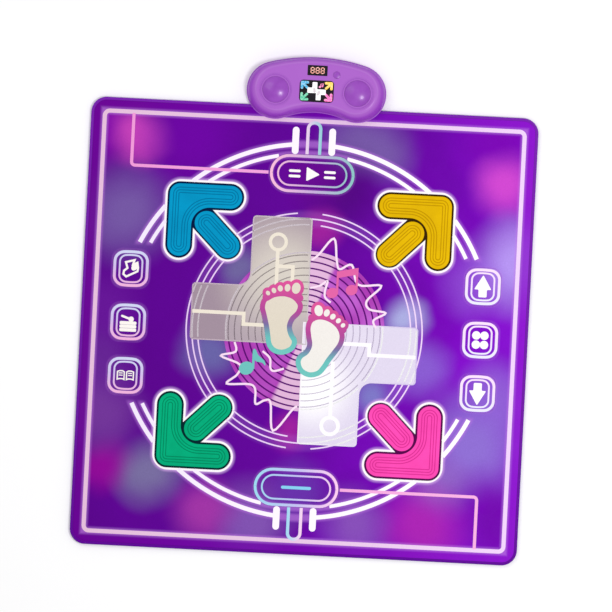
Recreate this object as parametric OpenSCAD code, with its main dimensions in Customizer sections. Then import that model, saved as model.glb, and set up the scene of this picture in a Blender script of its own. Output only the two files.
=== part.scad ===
// Dance rhythm mat: a layered floor mat with twelve touch pads and a kidney-shaped control
// pod clamped over its back edge. Origin at the middle of the mat's underside, +Z up,
// +Y towards the pod, +X to the player's right. Millimetres.

/* [Mat] */
// Width of the mat
mat_w = 930; // [800:5:1120]
// Depth of the mat, front edge to back edge
mat_d = 930; // [800:5:1120]
// Outer corner radius of the mat
mat_corner_r = 32; // [16:1:60]
// Width of the rounded edge rim
rim_w = 6; // [4:0.5:12]
// Rounding of the rim's outer edges
rim_round = 3; // [1:0.5:4]
// Anti-slip base sheet thickness
base_t = 1.2; // [0.8:0.1:2]
// Base foam thickness
base_foam_t = 3; // [2.4:0.1:8]
// Sensor membrane thickness
membrane_t = 0.4; // [0.2:0.1:0.8]
// Spacer foam thickness
spacer_t = 3; // [2.6:0.1:6]
// Printed top cover thickness
cover_t = 1; // [0.6:0.1:2]

/* [Touch pads] */
// Distance from the mat's edge to the outer corner of each arrow
arrow_edge = 168; // [150:1:200]
// Width of an arrow's bars
bar_w = 55; // [45:1:66]
// Length of an arrow's bars
bar_len = 158; // [130:1:190]
// Outer corner radius of an arrow
arrow_corner_r = 25; // [10:1:26]
// Radius of the hollow that holds the arrow's shaft
arrow_hollow_r = 28; // [22:1:34]
// Width of the dark border round an arrow's raised parts
arrow_border = 3.5; // [2:0.5:6]
// Height of an arrow's raised parts over its border
arrow_rise = 1.8; // [0.6:0.1:3]
// Distance along the diagonal axis from the hollow's middle to the shaft's end centre
shaft_run = 46; // [30:1:70]
// Grooves pressed into each raised part
groove_count = 3; // [0:1:3]
// Distance between two grooves
groove_pitch = 6; // [5:0.5:7]
// Width of a groove
groove_w = 1.6; // [0.8:0.1:2.4]
// Depth of a groove
groove_depth = 0.6; // [0.3:0.1:1]
// Distance from the mat's front or back edge to the middle of each long pad
pill_edge = 139; // [120:1:170]
// Length of a long pad
pill_w = 177; // [150:1:220]
// Width of a long pad
pill_h = 80; // [60:1:96]
// Distance from the mat's side edge to the middle of each side pad
icon_edge = 99; // [80:1:110]
// Distance between two side pads
icon_pitch = 111; // [100:1:130]
// Width of a side pad
icon_w = 74; // [60:1:86]
// Depth of a side pad
icon_h = 79; // [60:1:92]
// Corner radius of a side pad
icon_r = 20; // [8:1:28]
// How far a flat pad stands over the cover
pad_proud = 0.4; // [0.2:0.1:1]
// Travel of every touch pad
pad_travel = 1.4; // [0.8:0.1:1.6]
// Clearance round a pad in its window
pad_gap = 0.5; // [0.3:0.1:1]
// Width of the pad flange under the cover
flange_w = 4; // [2:0.5:8]
// Thickness of the pad flange
flange_t = 0.9; // [0.6:0.1:1.4]
// Radius of a contact disc
contact_r = 12; // [6:1:16]
// Gap between the two halves of a contact pattern
contact_split = 1.6; // [0.8:0.1:3]

/* [Pod outline] */
// Half the distance between the centres of the two lobes
lobe_x = 85; // [72:1:110]
// Distance of the lobe centres behind the mat's edge
lobe_out = 32; // [24:1:40]
// Radius of a lobe
lobe_r = 60; // [56:1:66]
// Height of the crown over the line through the lobe centres
crown_rise = 72; // [68:1:84]
// Depth of the waist under the line through the lobe centres
waist_drop = 43; // [36:1:48]
// Height of the pod's face over the floor
pod_h = 38; // [36:1:46]
// Wall thickness of the pod's shells
pod_wall = 2.5; // [2:0.1:3]
// Floor thickness of the bottom shell
pod_floor_t = 2.2; // [2:0.1:3]
// Height of the rubber feet under the bottom shell
pod_foot_h = 0.8; // [0.4:0.1:1]
// Width of the lip round the foot of the top shell
lip_w = 2; // [1:0.1:2.5]
// Height of that lip
lip_h = 2; // [1:0.1:3]
// Clearance between the pod and the mat cut-out
notch_gap = 0.3; // [0.2:0.1:1]

/* [Pod face] */
// Radius of a speaker dome
dome_r = 27; // [20:1:29]
// Rise of a speaker dome over its rim
dome_rise = 7; // [4:0.5:12]
// Radius of the shallow dish round a dome
dish_r = 33.5; // [31:0.5:35]
// Depth of that dish
dish_depth = 1.2; // [0.6:0.1:1.4]
// Width and height of the score window
score_size = [41, 21]; // [18:1:60]
// Distance of the score window behind the lobe line
score_y = 43.5; // [42:0.5:46]
// Width and height of the picture screen
screen_size = [71, 45]; // [40:1:90]
// Corner radius of the picture screen
screen_r = 8; // [3:1:12]
// Distance of the screen behind the lobe line
screen_y = 0.5; // [-1:0.5:2]
// Thickness of both windows
window_t = 1.4; // [1:0.1:1.6]
// How far the windows stand over the face
window_proud = 0.3; // [0:0.1:0.6]
// Place of the power button from the pod's middle
button_at = [40, 36]; // [20:1:60]
// Radius of the power button
button_r = 7; // [5:0.5:8]
// Travel of the power button
button_travel = 1.2; // [0.8:0.1:1.4]

/* [Pod inside] */
// Radius of a speaker's rim
speaker_r = 33; // [30:0.5:33.5]
// Height of the underside of the circuit board
board_z = 20; // [19.6:0.2:21]
// Circuit board thickness
board_t = 1.6; // [1:0.2:2]
// Radius of a battery
cell_r = 7.1; // [6.9:0.1:7.2]
// Length of a battery with its tip
cell_len = 50.5; // [49:0.5:51]
// Radius of a case screw's shank
screw_r = 1.5; // [1.2:0.1:1.6]

/* [Hidden] */
$fn = 64;
seat_gap = 0.3;

// Heights of the layers
foam_z = base_t;
membrane_z = foam_z + base_foam_t;
spacer_z = membrane_z + membrane_t;
cover_z = spacer_z + spacer_t;
mat_top = cover_z + cover_t;
layer_inset = rim_w + seat_gap;
layer_corner_r = max(mat_corner_r - layer_inset, 2);
mat_back = mat_d / 2;

// Touch pads
flange_top = cover_z - seat_gap;
flange_z = flange_top - flange_t;
contact_t = 0.28;
contact_z = flange_z - contact_t;
finger_t = 0.1;
end_r = bar_w / 2;
shaft_r = end_r - 0.5;
hollow_at = bar_w + arrow_hollow_r;
shaft_end = hollow_at + shaft_run;
diagonal = sqrt(2);
arrow_x = mat_w / 2 - arrow_edge;
arrow_y = mat_d / 2 - arrow_edge;
pill_y = mat_d / 2 - pill_edge;
icon_x = mat_w / 2 - icon_edge;
bar_mid = bar_len / 2 + end_r / 2;

// Place of each pad: its kind, its place and its turn
BLUE = ["arrow", [-arrow_x, arrow_y], 0];
YELLOW = ["arrow", [arrow_x, arrow_y], -90];
PINK = ["arrow", [arrow_x, -arrow_y], 180];
GREEN = ["arrow", [-arrow_x, -arrow_y], 90];
START = ["pill", [0, pill_y], 0];
SELECT = ["pill", [0, -pill_y], 0];
MELODY = ["icon", [-icon_x, icon_pitch], 0];
DRUM = ["icon", [-icon_x, 0], 0];
BOOK = ["icon", [-icon_x, -icon_pitch], 0];
UP = ["icon", [icon_x, icon_pitch], 0];
MODE = ["icon", [icon_x, 0], 0];
DOWN = ["icon", [icon_x, -icon_pitch], 0];
PADS = [BLUE, YELLOW, PINK, GREEN, START, SELECT, MELODY, DRUM, BOOK, UP, MODE, DOWN];

// Pod outline: two lobes joined by a crown arc and a waist arc, each tangent to both lobes
lobe_y = mat_back + lobe_out;
crown_r = (lobe_x * lobe_x + crown_rise * crown_rise - lobe_r * lobe_r) / (2 * (crown_rise - lobe_r));
waist_r = (lobe_x * lobe_x + waist_drop * waist_drop - lobe_r * lobe_r) / (2 * (lobe_r - waist_drop));
// Lets the crown and waist arcs cross the lobes instead of only touching them
blend_slack = 0.02;
crown_c = [0, lobe_y + crown_rise - crown_r];
waist_c = [0, lobe_y - waist_drop - waist_r];

// Pod heights
floor_z = pod_foot_h;
face_t = 2.5;
ceiling_z = pod_h - face_t;
dish_z = pod_h - dish_depth;
window_z = pod_h + window_proud - window_t;
window_fit = 0.2;
board_top = board_z + board_t;
button_flange_top = ceiling_z - seat_gap;
button_flange_t = 1.5;
button_top = pod_h + 0.5;
stem_z = board_top + 6.4;

// Rings of the top shell: height, inset, shift towards the crown, pull of the lobes inwards
SKIN = [
    [mat_top, 0, 0, 0],
    [mat_top + lip_h, 0, 0, 0],
    [mat_top + lip_h + 0.6, lip_w, 0, 0],
    [pod_h * 0.5, lip_w + 0.6, 0, 0],
    [pod_h * 0.66, 4, 0.5, 0.5],
    [pod_h * 0.80, 7, 1.2, 1.6],
    [pod_h * 0.89, 10, 2.2, 2.8],
    [pod_h * 0.93, 12.5, 3, 3.6],
    [pod_h * 0.965, 14, 3.2, 3.8],
    [pod_h * 0.99, 16, 3.2, 3.8],
    [pod_h, 19.5, 2.5, 3],
];
LINING = [for (ring = SKIN) [
    ring[0] == mat_top ? mat_top : min(ring[0] - face_t * 0.5, ceiling_z),
    max(ring[1], lip_w) + pod_wall,
    ring[2],
    ring[3],
]];
CEILING = concat(LINING, [[ceiling_z, 23.5, 2, 2]]);

// Steps along each arc of the outline: upper lobe, crown, lower lobe, waist
lobe_up_n = 10;
crown_n = 28;
lobe_low_n = 15;
waist_n = 18;
side_n = 2 * lobe_up_n + crown_n;

// Screws and posts of the pod
// Place of each post from the middle of the lobe line, and the top of the boss that meets it
case_posts = [[113, 29, ceiling_z + 0.1], [118, -22, pod_h * 0.905]];
post_r = 4.5;
boss_r = 3.6;
post_top = 12;
head_r = 2.9;
head_h = 2;
head_seat = 5;
pilot_depth = 13;
clamp_xs = [-100, -36, 36, 100];
clamp_w = waist_drop - lobe_out - lip_w - pod_wall - 2 * seat_gap;
clamp_h = 3;
clamp_y = mat_back - clamp_w / 2 - seat_gap;
clamp_len = 2 * lobe_x + 60;
clamp_shank_r = 1.1;
clamp_head_r = 2.2;
clamp_head_h = 1.4;
clamp_bite = 3;
tab_y = mat_back;

// Rubber feet
feet_at = [[98, 44], [124, -8]];
foot_r = 6;
foot_seat = 0.7;

// Battery box
cell_pitch = 2 * cell_r + 0.6;
cell_y = lobe_y + 13.5;
pocket_w = 60;
pocket_d = 3 * cell_pitch + 3;
box_wall = 1.5;
door_t = 2;
door_z = floor_z;
pocket_top = door_z + door_t + 2 * cell_r + 0.5;
door_w = pocket_w - 2;
door_d = pocket_d + 6;
door_gap = 0.3;
lug_d = 7;
cell_z = door_z + door_t + 0.2 + cell_r;
contact_plate_t = 0.4;
contact_plate = 11;
cell_shift = (pocket_w - cell_len) / 2 - contact_plate_t - 0.15;

// Board
board_w = 90;
board_d = 78;
board_y = lobe_y + 15;
board_bosses = [[40, -19], [38, 49]];
board_head_h = 1.6;
connector = [28, 8, 5];
connector_y = lobe_y - 19;
tail_w = 24;
tail_slot = 1;

// Wire routes: points from the right speaker to the board, and from the battery box to the board
SPEAKER_WIRE = [[62.6, 1, 26.4], [58, 1.4, 25], [53, 2, 24.2], [48, 2.4, 23.4], [43, 2.6, 22.5]];
BATTERY_WIRE = [[-33, 4, 11], [-34, 4.4, 13], [-35, 5, 15.5], [-35.4, 5.2, 17.5], [-35.4, 5.2, 19.2]];
wire_r = 0.75;
wire_sides = 8;

// ---- Outlines ----

module rounded_rect(w, d, r) {
    square([w - 2 * r, d], center = true);
    square([w, d - 2 * r], center = true);
    for (sx = [-1, 1], sy = [-1, 1])
        translate([sx * (w / 2 - r), sy * (d / 2 - r)]) circle(r);
}

module stadium(w, h) {
    square([w - h, h], center = true);
    for (s = [-1, 1]) translate([s * (w - h) / 2, 0]) circle(h / 2);
}

// A capsule along the arrow's diagonal, from one distance to another, both measured per axis
module diagonal_capsule(from, to, r) {
    run = (to - from) * diagonal;
    translate([from, -from]) rotate(-45) {
        translate([0, -r]) square([run, 2 * r]);
        circle(r);
        translate([run, 0]) circle(r);
    }
}

// The arrow's two bars, inset by i, with its outer corner at the origin
module arrow_bars(i) {
    straight = bar_len - end_r - arrow_corner_r;
    translate([arrow_corner_r, -bar_w + i]) square([straight, bar_w - 2 * i]);
    translate([i, -(bar_len - end_r)]) square([bar_w - 2 * i, straight]);
    translate([bar_len - end_r, -end_r]) circle(end_r - i);
    translate([end_r, -(bar_len - end_r)]) circle(end_r - i);
    translate([arrow_corner_r, -arrow_corner_r]) circle(arrow_corner_r - i);
}

// The bars with the round hollow between them
module chevron(i) {
    block = hollow_at - arrow_corner_r;
    difference() {
        union() {
            arrow_bars(i);
            translate([arrow_corner_r, -hollow_at]) square([block, block]);
        }
        translate([hollow_at, -hollow_at]) circle(arrow_hollow_r + i);
    }
}

module arrow_outline(grow) {
    arrow_bars(-grow);
    diagonal_capsule(end_r, shaft_end, end_r + grow);
}

module pad_outline(kind, grow) {
    if (kind == "arrow") arrow_outline(grow);
    if (kind == "pill") stadium(pill_w + 2 * grow, pill_h + 2 * grow);
    if (kind == "icon") rounded_rect(icon_w + 2 * grow, icon_h + 2 * grow, icon_r + grow);
}

module place(pad) {
    translate([pad[1][0], pad[1][1], 0]) rotate(pad[2]) children();
}

module windows(grow) {
    for (pad = PADS) place(pad) pad_outline(pad[0], grow);
}

// The pod's outline in the plane, inset by i
module kidney(i) {
    crown_dir = [lobe_x, lobe_y - crown_c[1]] / norm([lobe_x, lobe_y - crown_c[1]]);
    waist_dir = [lobe_x, lobe_y - waist_c[1]] / norm([lobe_x, lobe_y - waist_c[1]]);
    high = [lobe_x, lobe_y] + crown_dir * lobe_r * 1.5;
    low = [lobe_x, lobe_y] - waist_dir * lobe_r;
    for (s = [-1, 1]) translate([s * lobe_x, lobe_y]) circle(lobe_r - i);
    difference() {
        intersection() {
            translate(crown_c) circle(crown_r - i - blend_slack);
            polygon([
                [lobe_x, lobe_y], high, [-high[0], high[1]],
                [-lobe_x, lobe_y], [-low[0], low[1]], low,
            ]);
        }
        translate(waist_c) circle(waist_r + i + blend_slack);
    }
}

// ---- Mat ----

module mat_outline() {
    rounded_rect(mat_w - 2 * layer_inset, mat_d - 2 * layer_inset, layer_corner_r);
}

// The mat's back edge inside the pod
module pod_tab() {
    intersection() {
        kidney(lip_w + pod_wall + seat_gap);
        translate([-mat_w / 2, 0]) square([mat_w, tab_y]);
    }
}

module clamp_holes() {
    for (x = clamp_xs) translate([x, clamp_y]) circle(clamp_shank_r + 0.2);
}

module anti_slip_base() color([0.16, 0.14, 0.2])
    linear_extrude(base_t) difference() {
        mat_outline();
        kidney(-notch_gap);
    }

module base_foam() color([0.93, 0.93, 0.9])
    translate([0, 0, foam_z]) linear_extrude(base_foam_t) difference() {
        mat_outline();
        kidney(-notch_gap);
    }

module sensor_membrane() color([0.8, 0.86, 0.88]) {
    translate([0, 0, membrane_z]) linear_extrude(membrane_t) {
        difference() {
            union() {
                mat_outline();
                pod_tab();
            }
            clamp_holes();
        }
        translate([-tail_w / 2, tab_y - 1]) square([tail_w, connector_y + membrane_t / 2 - tab_y + 1]);
    }
    translate([-tail_w / 2, connector_y - membrane_t / 2, membrane_z])
        cube([tail_w, membrane_t, board_z - membrane_z - 2.5]);
}

// Places of the contact discs of one pad, from the pad's own corner or middle
function contact_spots(kind) =
    kind == "arrow" ? [[bar_mid, -end_r], [end_r, -bar_mid], [shaft_end - 14, -(shaft_end - 14)]]
    : kind == "pill" ? [[-pill_w / 4, 0], [pill_w / 4, 0]]
    : [[0, 0]];

module contact_pattern() color([0.25, 0.25, 0.27])
    for (pad = PADS) place(pad)
        for (spot = contact_spots(pad[0])) translate([spot[0], spot[1], spacer_z])
            linear_extrude(finger_t) for (s = [-1, 1]) intersection() {
                circle(contact_r);
                translate([s * (contact_r + contact_split / 2), 0])
                    square(2 * contact_r, center = true);
            }

module spacer_foam() color([0.96, 0.95, 0.9])
    translate([0, 0, spacer_z]) linear_extrude(spacer_t) difference() {
        union() {
            mat_outline();
            pod_tab();
        }
        windows(flange_w + pad_gap);
        clamp_holes();
    }

module top_cover() color([0.35, 0.02, 0.6])
    translate([0, 0, cover_z]) linear_extrude(cover_t) difference() {
        union() {
            mat_outline();
            pod_tab();
        }
        windows(pad_gap);
        clamp_holes();
    }

// Section of the rim: outer edge at x = 0, both outer corners round
module rim_section() {
    translate([rim_round, 0]) square([rim_w - rim_round, mat_top]);
    translate([0, rim_round]) square([rim_w, mat_top - 2 * rim_round]);
    for (z = [rim_round, mat_top - rim_round]) translate([rim_round, z]) circle(rim_round);
}

module rim_run(length) {
    rotate([90, 0, 0]) translate([0, 0, -length / 2]) linear_extrude(length) rim_section();
}

module edge_rim() color([0.42, 0.15, 0.65])
    difference() {
        union() {
            for (s = [0, 180]) rotate(s) {
                translate([-mat_w / 2, 0, 0]) rim_run(mat_d - 2 * mat_corner_r);
                rotate(90) translate([-mat_d / 2, 0, 0]) rim_run(mat_w - 2 * mat_corner_r);
            }
            for (sx = [-1, 1], sy = [-1, 1])
                translate([sx * (mat_w / 2 - mat_corner_r), sy * (mat_d / 2 - mat_corner_r), 0])
                    rotate(sx > 0 ? (sy > 0 ? 0 : -90) : (sy > 0 ? 90 : 180))
                        rotate_extrude(angle = 90)
                            translate([mat_corner_r, 0]) mirror([1, 0]) rim_section();
        }
        translate([0, 0, -1]) linear_extrude(mat_top + 2) kidney(-notch_gap);
    }

// ---- Touch pads ----

module grooves(part) {
    for (k = [1:1:groove_count]) {
        i = arrow_border + k * groove_pitch;
        if (part == "chevron") difference() {
            chevron(i);
            chevron(i + groove_w);
        }
        if (part == "shaft") difference() {
            diagonal_capsule(hollow_at, shaft_end, shaft_r - i);
            diagonal_capsule(hollow_at, shaft_end, shaft_r - i - groove_w);
        }
    }
}

module raised_part(part) {
    difference() {
        linear_extrude(arrow_rise) {
            if (part == "chevron") chevron(arrow_border);
            if (part == "shaft") diagonal_capsule(hollow_at, shaft_end, shaft_r - arrow_border);
        }
        translate([0, 0, arrow_rise - groove_depth]) linear_extrude(1) grooves(part);
    }
}

module touch_pad(pad, fill) {
    kind = pad[0];
    top = mat_top + pad_proud;
    place(pad) {
        color(fill) {
            translate([0, 0, flange_z]) linear_extrude(flange_t) pad_outline(kind, flange_w);
            translate([0, 0, flange_top]) linear_extrude(top - flange_top) pad_outline(kind, 0);
            if (kind == "arrow") translate([0, 0, top]) {
                raised_part("chevron");
                raised_part("shaft");
            }
        }
    }
}

module pad_contacts(pad) color([0.1, 0.1, 0.11])
    place(pad) for (spot = contact_spots(pad[0]))
        translate([spot[0], spot[1], contact_z]) cylinder(r = contact_r, h = contact_t);

// ---- Pod shells ----

function arc(c, r, a0, a1, n) = [for (k = [0:n - 1]) c + r * [cos(a0 + (a1 - a0) * k / n), sin(a0 + (a1 - a0) * k / n)]];

// Points of the outline of one ring: rightmost point, over the crown, leftmost, back along the waist
function ring_points(ring) =
    let(
        i = ring[1],
        lx = lobe_x - ring[3],
        ly = lobe_y + ring[2],
        r = lobe_r - i,
        up = crown_rise - i,
        down = waist_drop - i,
        cr = (lx * lx + up * up - r * r) / (2 * (up - r)),
        wr = (lx * lx + down * down - r * r) / (2 * (r - down)),
        cc = [0, ly + up - cr],
        wc = [0, ly - down - wr],
        ca = atan2(ly - cc[1], lx),
        wa = atan2(ly - wc[1], lx)
    )
    concat(
        arc([lx, ly], r, 0, ca, lobe_up_n),
        arc(cc, cr, ca, 180 - ca, crown_n),
        arc([-lx, ly], r, 180 - ca, 180, lobe_up_n),
        arc([-lx, ly], r, 180, 360 - wa, lobe_low_n),
        arc(wc, wr, 180 - wa, wa, waist_n),
        arc([lx, ly], r, -180 + wa, 0, lobe_low_n)
    );

ring_n = 2 * side_n;

function ring_at_height(ring) = [for (p = ring_points(ring)) [p[0], p[1], ring[0]]];

// Side faces between ring a and ring b, counted from the first point of each
function band(a, b) = [for (k = [0:ring_n - 1]) each [
    [a + k, b + k, b + (k + 1) % ring_n],
    [a + k, b + (k + 1) % ring_n, a + (k + 1) % ring_n],
]];

// A lid over one ring: strips from the crown side to the waist side
function lid(a) = [for (k = [0:side_n - 1]) each [
    [a + k, a + ring_n - k - 1, a + k + 1],
    if (k > 0) [a + k, a + ring_n - k, a + ring_n - k - 1],
]];

function flipped(faces) = [for (f = faces) [f[2], f[1], f[0]]];

module hollow_cap(outer, inner) {
    points = [for (ring = concat(outer, inner)) each ring_at_height(ring)];
    n_out = len(outer);
    n_in = len(inner);
    first_in = n_out * ring_n;
    polyhedron(points, concat(
        [for (k = [0:n_out - 2]) each band(k * ring_n, (k + 1) * ring_n)],
        lid((n_out - 1) * ring_n),
        flipped([for (k = [0:n_in - 2]) each band(first_in + k * ring_n, first_in + (k + 1) * ring_n)]),
        flipped(lid(first_in + (n_in - 1) * ring_n)),
        flipped(band(0, first_in))
    ));
}

module both_sides() {
    children();
    mirror([1, 0, 0]) children();
}

module round_plate(size, r, h) {
    linear_extrude(h) rounded_rect(size[0], size[1], r);
}

module sound_slots() {
    slot_n = 24;
    for (k = [0:slot_n - 1]) rotate(k * 360 / slot_n)
        translate([dome_r + 2.6, -0.6, ceiling_z - 1]) cube([2, 1.2, face_t + 2]);
}

module pod_top_shell() color([0.66, 0.38, 0.8])
    difference() {
        union() {
            hollow_cap(SKIN, CEILING);
            both_sides() {
                translate([lobe_x, lobe_y, ceiling_z - 4.5]) difference() {
                    cylinder(r = speaker_r + 1, h = 4.6);
                    translate([0, 0, -1]) cylinder(r = speaker_r - 1, h = 7);
                }
                for (p = case_posts) translate([p[0], lobe_y + p[1], post_top])
                    cylinder(r = boss_r, h = p[2] - post_top);
                for (p = board_bosses) translate([p[0], lobe_y + p[1], board_top])
                    cylinder(r = 3, h = ceiling_z + 0.1 - board_top);
            }
        }
        both_sides() {
            translate([lobe_x, lobe_y, dish_z]) cylinder(r = dish_r, h = 5);
            translate([lobe_x, lobe_y, ceiling_z - 1]) cylinder(r = dome_r + 0.4, h = 9);
            translate([lobe_x, lobe_y, 0]) sound_slots();
            for (p = case_posts) translate([p[0], lobe_y + p[1], post_top - 1])
                cylinder(r = screw_r + 0.05, h = pilot_depth + 1);
            for (p = board_bosses) translate([p[0], lobe_y + p[1], board_top - 1])
                cylinder(r = 1.25, h = 7);
        }
        translate([0, lobe_y + score_y, 0]) {
            translate([0, 0, window_z])
                round_plate([score_size[0] + 2 * window_fit, score_size[1] + 2 * window_fit], 1.2, 5);
            translate([0, 0, ceiling_z - 1]) round_plate([score_size[0] - 3, score_size[1] - 3], 1, 9);
        }
        translate([0, lobe_y + screen_y, 0]) {
            translate([0, 0, window_z])
                round_plate([screen_size[0] + 2 * window_fit, screen_size[1] + 2 * window_fit], screen_r, 5);
            translate([0, 0, ceiling_z - 1]) round_plate([screen_size[0] - 7, screen_size[1] - 7], 4, 9);
        }
        translate([button_at[0], lobe_y + button_at[1], ceiling_z - 1])
            cylinder(r = button_r + 0.4, h = 9);
    }

module battery_pocket() {
    translate([0, cell_y, door_z - 1]) {
        translate([-pocket_w / 2, -pocket_d / 2, 0]) cube([pocket_w, pocket_d, pocket_top - door_z + 1]);
        translate([-door_w / 2 - door_gap, -door_d / 2 - door_gap, 0])
            cube([door_w + 2 * door_gap, door_d + 2 * door_gap, door_t + 1 + door_gap]);
    }
}

// The part of the pod's plan that holds the mat's back edge
module under_mat() {
    translate([-mat_w / 2, 0]) square([mat_w, tab_y + seat_gap]);
}

module pod_bottom_shell() color([0.6, 0.32, 0.76])
    difference() {
        union() {
            difference() {
                translate([0, 0, floor_z]) linear_extrude(mat_top - floor_z) kidney(0);
                translate([0, 0, floor_z + pod_floor_t]) linear_extrude(mat_top) difference() {
                    kidney(lip_w + pod_wall);
                    under_mat();
                }
                translate([0, 0, membrane_z]) linear_extrude(mat_top) under_mat();
            }
            translate([-tail_w / 2 - 1, tab_y, floor_z])
                cube([tail_w + 2, connector_y + 1 - tab_y, membrane_z - floor_z]);
            translate([-pocket_w / 2 - box_wall, cell_y - door_d / 2 - 1, floor_z])
                cube([pocket_w + 2 * box_wall, door_d + 2, door_t + 2]);
            translate([-pocket_w / 2 - box_wall, cell_y - pocket_d / 2 - box_wall, floor_z])
                cube([pocket_w + 2 * box_wall, pocket_d + 2 * box_wall, pocket_top + box_wall - floor_z]);
            both_sides() for (p = case_posts) translate([p[0], lobe_y + p[1], floor_z])
                cylinder(r = post_r, h = post_top - floor_z);
        }
        battery_pocket();
        both_sides() {
            for (p = case_posts) translate([p[0], lobe_y + p[1], 0]) {
                cylinder(r = head_r + 0.3, h = head_seat);
                cylinder(r = screw_r + 0.15, h = post_top + 1);
            }
            for (p = feet_at) translate([p[0], lobe_y + p[1], 0])
                cylinder(r = foot_r + 0.1, h = floor_z + foot_seat);
        }
        for (x = clamp_xs) translate([x, clamp_y, membrane_z - clamp_bite])
            cylinder(r = clamp_shank_r + 0.05, h = clamp_bite + 1);
        translate([0, cell_y + door_d / 2 - lug_d / 2, 0]) cylinder(r = 1.25, h = door_z + door_t + 4);
    }

module pod_feet() color([0.12, 0.12, 0.13])
    both_sides() for (p = feet_at) translate([p[0], lobe_y + p[1], 0])
        cylinder(r = foot_r, h = floor_z + foot_seat);

module case_screw(shank_r, shank_len, head_radius, head_height) {
    difference() {
        union() {
            cylinder(r = head_radius, h = head_height);
            translate([0, 0, head_height]) cylinder(r = shank_r, h = shank_len);
        }
        for (a = [0, 90]) rotate(a) translate([-head_radius * 0.6, -0.35, -1])
            cube([head_radius * 1.2, 0.7, 1 + head_height * 0.5]);
    }
}

module pod_screws() color([0.75, 0.75, 0.78])
    both_sides() for (p = case_posts) translate([p[0], lobe_y + p[1], head_seat - head_h])
        case_screw(screw_r, 16, head_r, head_h);

// ---- Pod face ----

module speaker_dome(side) color([0.58, 0.26, 0.72])
    translate([side * lobe_x, lobe_y, 0]) {
        sphere_r = (dome_r * dome_r + dome_rise * dome_rise) / (2 * dome_rise);
        rim_z = dish_z + 0.6;
        rotate_extrude() {
            translate([0, rim_z + dome_rise - sphere_r]) difference() {
                intersection() {
                    circle(sphere_r, $fn = 200);
                    translate([0, sphere_r - dome_rise]) square([dome_r, dome_rise + 1]);
                }
                circle(sphere_r - 1.5, $fn = 200);
            }
            translate([dome_r - 1.6, ceiling_z]) square([1.6, rim_z - ceiling_z]);
            translate([dome_r - 1.6, ceiling_z - 1.4]) square([3.2, 1.4]);
        }
    }

module speaker(side) color([0.2, 0.2, 0.22])
    translate([side * lobe_x, lobe_y, ceiling_z - 4.5]) rotate_extrude() polygon([
        [0, -19], [speaker_r / 2, -19], [speaker_r / 2, -12], [12, -12], [speaker_r - 8, -2],
        [speaker_r, -1.6], [speaker_r, 0], [speaker_r - 7, 0], [8, -9], [4, -6.5], [0, -6],
    ]);

module score_window() color([0.03, 0.02, 0.03])
    translate([0, lobe_y + score_y, window_z]) round_plate(score_size, 1, window_t);

module score_display() color([0.1, 0.1, 0.1])
    translate([0, lobe_y + score_y, 0]) {
        body = [score_size[0] - 4, score_size[1] - 4, 8];
        translate([-body[0] / 2, -body[1] / 2, window_z - 0.3 - body[2]]) cube(body);
        for (s = [-1, 1], x = [-3:1:3]) translate([x * 2.54, s * (body[1] / 2 - 1.6), board_top])
            cylinder(r = 0.35, h = window_z - 0.3 - body[2] - board_top);
    }

module screen_window() color([0.02, 0.02, 0.03])
    translate([0, lobe_y + screen_y, window_z]) round_plate(screen_size, screen_r - window_fit, window_t);

module screen_panel() color([0.3, 0.32, 0.36])
    translate([0, lobe_y + screen_y, 0]) {
        panel = [screen_size[0] - 4, screen_size[1] - 4, 3];
        translate([-panel[0] / 2, -panel[1] / 2, ceiling_z - panel[2]]) cube(panel);
        translate([-9, -6, board_top]) cube([18, 0.3, ceiling_z - panel[2] - board_top]);
    }

module power_button() color([0.62, 0.33, 0.76])
    translate([button_at[0], lobe_y + button_at[1], 0]) {
        cap_rise = 0.9;
        cap_r = (button_r * button_r + cap_rise * cap_rise) / (2 * cap_rise);
        rotate_extrude() {
            translate([0, stem_z]) square([2.2, button_flange_top - stem_z]);
            translate([0, button_flange_top - button_flange_t])
                square([button_r + 1.8, button_flange_t]);
            translate([0, button_flange_top]) square([button_r, button_top - button_flange_top]);
            translate([0, button_top + cap_rise - cap_r]) intersection() {
                circle(cap_r, $fn = 200);
                translate([0, cap_r - cap_rise]) square([button_r, cap_rise + 1]);
            }
        }
    }

module power_switch() color([0.15, 0.15, 0.16])
    translate([button_at[0], lobe_y + button_at[1], board_top]) {
        translate([-3, -3, 0]) cube([6, 6, 3.6]);
        cylinder(r = 1.75, h = stem_z - board_top - button_travel - 0.1);
    }

// ---- Pod inside ----

module main_board() color([0.1, 0.42, 0.25])
    translate([0, board_y, board_z]) linear_extrude(board_t) difference() {
        square([board_w, board_d], center = true);
        for (s = [-1, 1], p = board_bosses) translate([s * p[0], p[1] - (board_y - lobe_y)]) circle(1.4);
    }

module board_parts() color([0.08, 0.08, 0.09])
    translate([0, board_y, board_top]) {
        translate([-30, -2, 0]) cube([14, 14, 1.4]);
        translate([-8, 2, 0]) cube([9, 12, 1.4]);
        translate([-34, 20, 0]) cube([8, 5, 1.2]);
        for (x = [24, 33]) translate([x, -26, 0]) cylinder(r = 3, h = 6);
        translate([-34, -30, 0]) cube([12, 5, 6]);
        translate([29, -12, 0]) cube([11, 4, 3]);
    }

module membrane_connector() color([0.9, 0.88, 0.8])
    translate([-connector[0] / 2, connector_y - connector[1] / 2, board_z - connector[2]])
        difference() {
            cube(connector);
            translate([(connector[0] - tail_w) / 2 - 0.3, (connector[1] - tail_slot) / 2, -1])
                cube([tail_w + 0.6, tail_slot, connector[2]]);
        }

module board_screws() color([0.75, 0.75, 0.78])
    both_sides() for (p = board_bosses) translate([p[0], lobe_y + p[1], board_z - board_head_h])
        case_screw(1.2, 6, 2.3, board_head_h);

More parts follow.
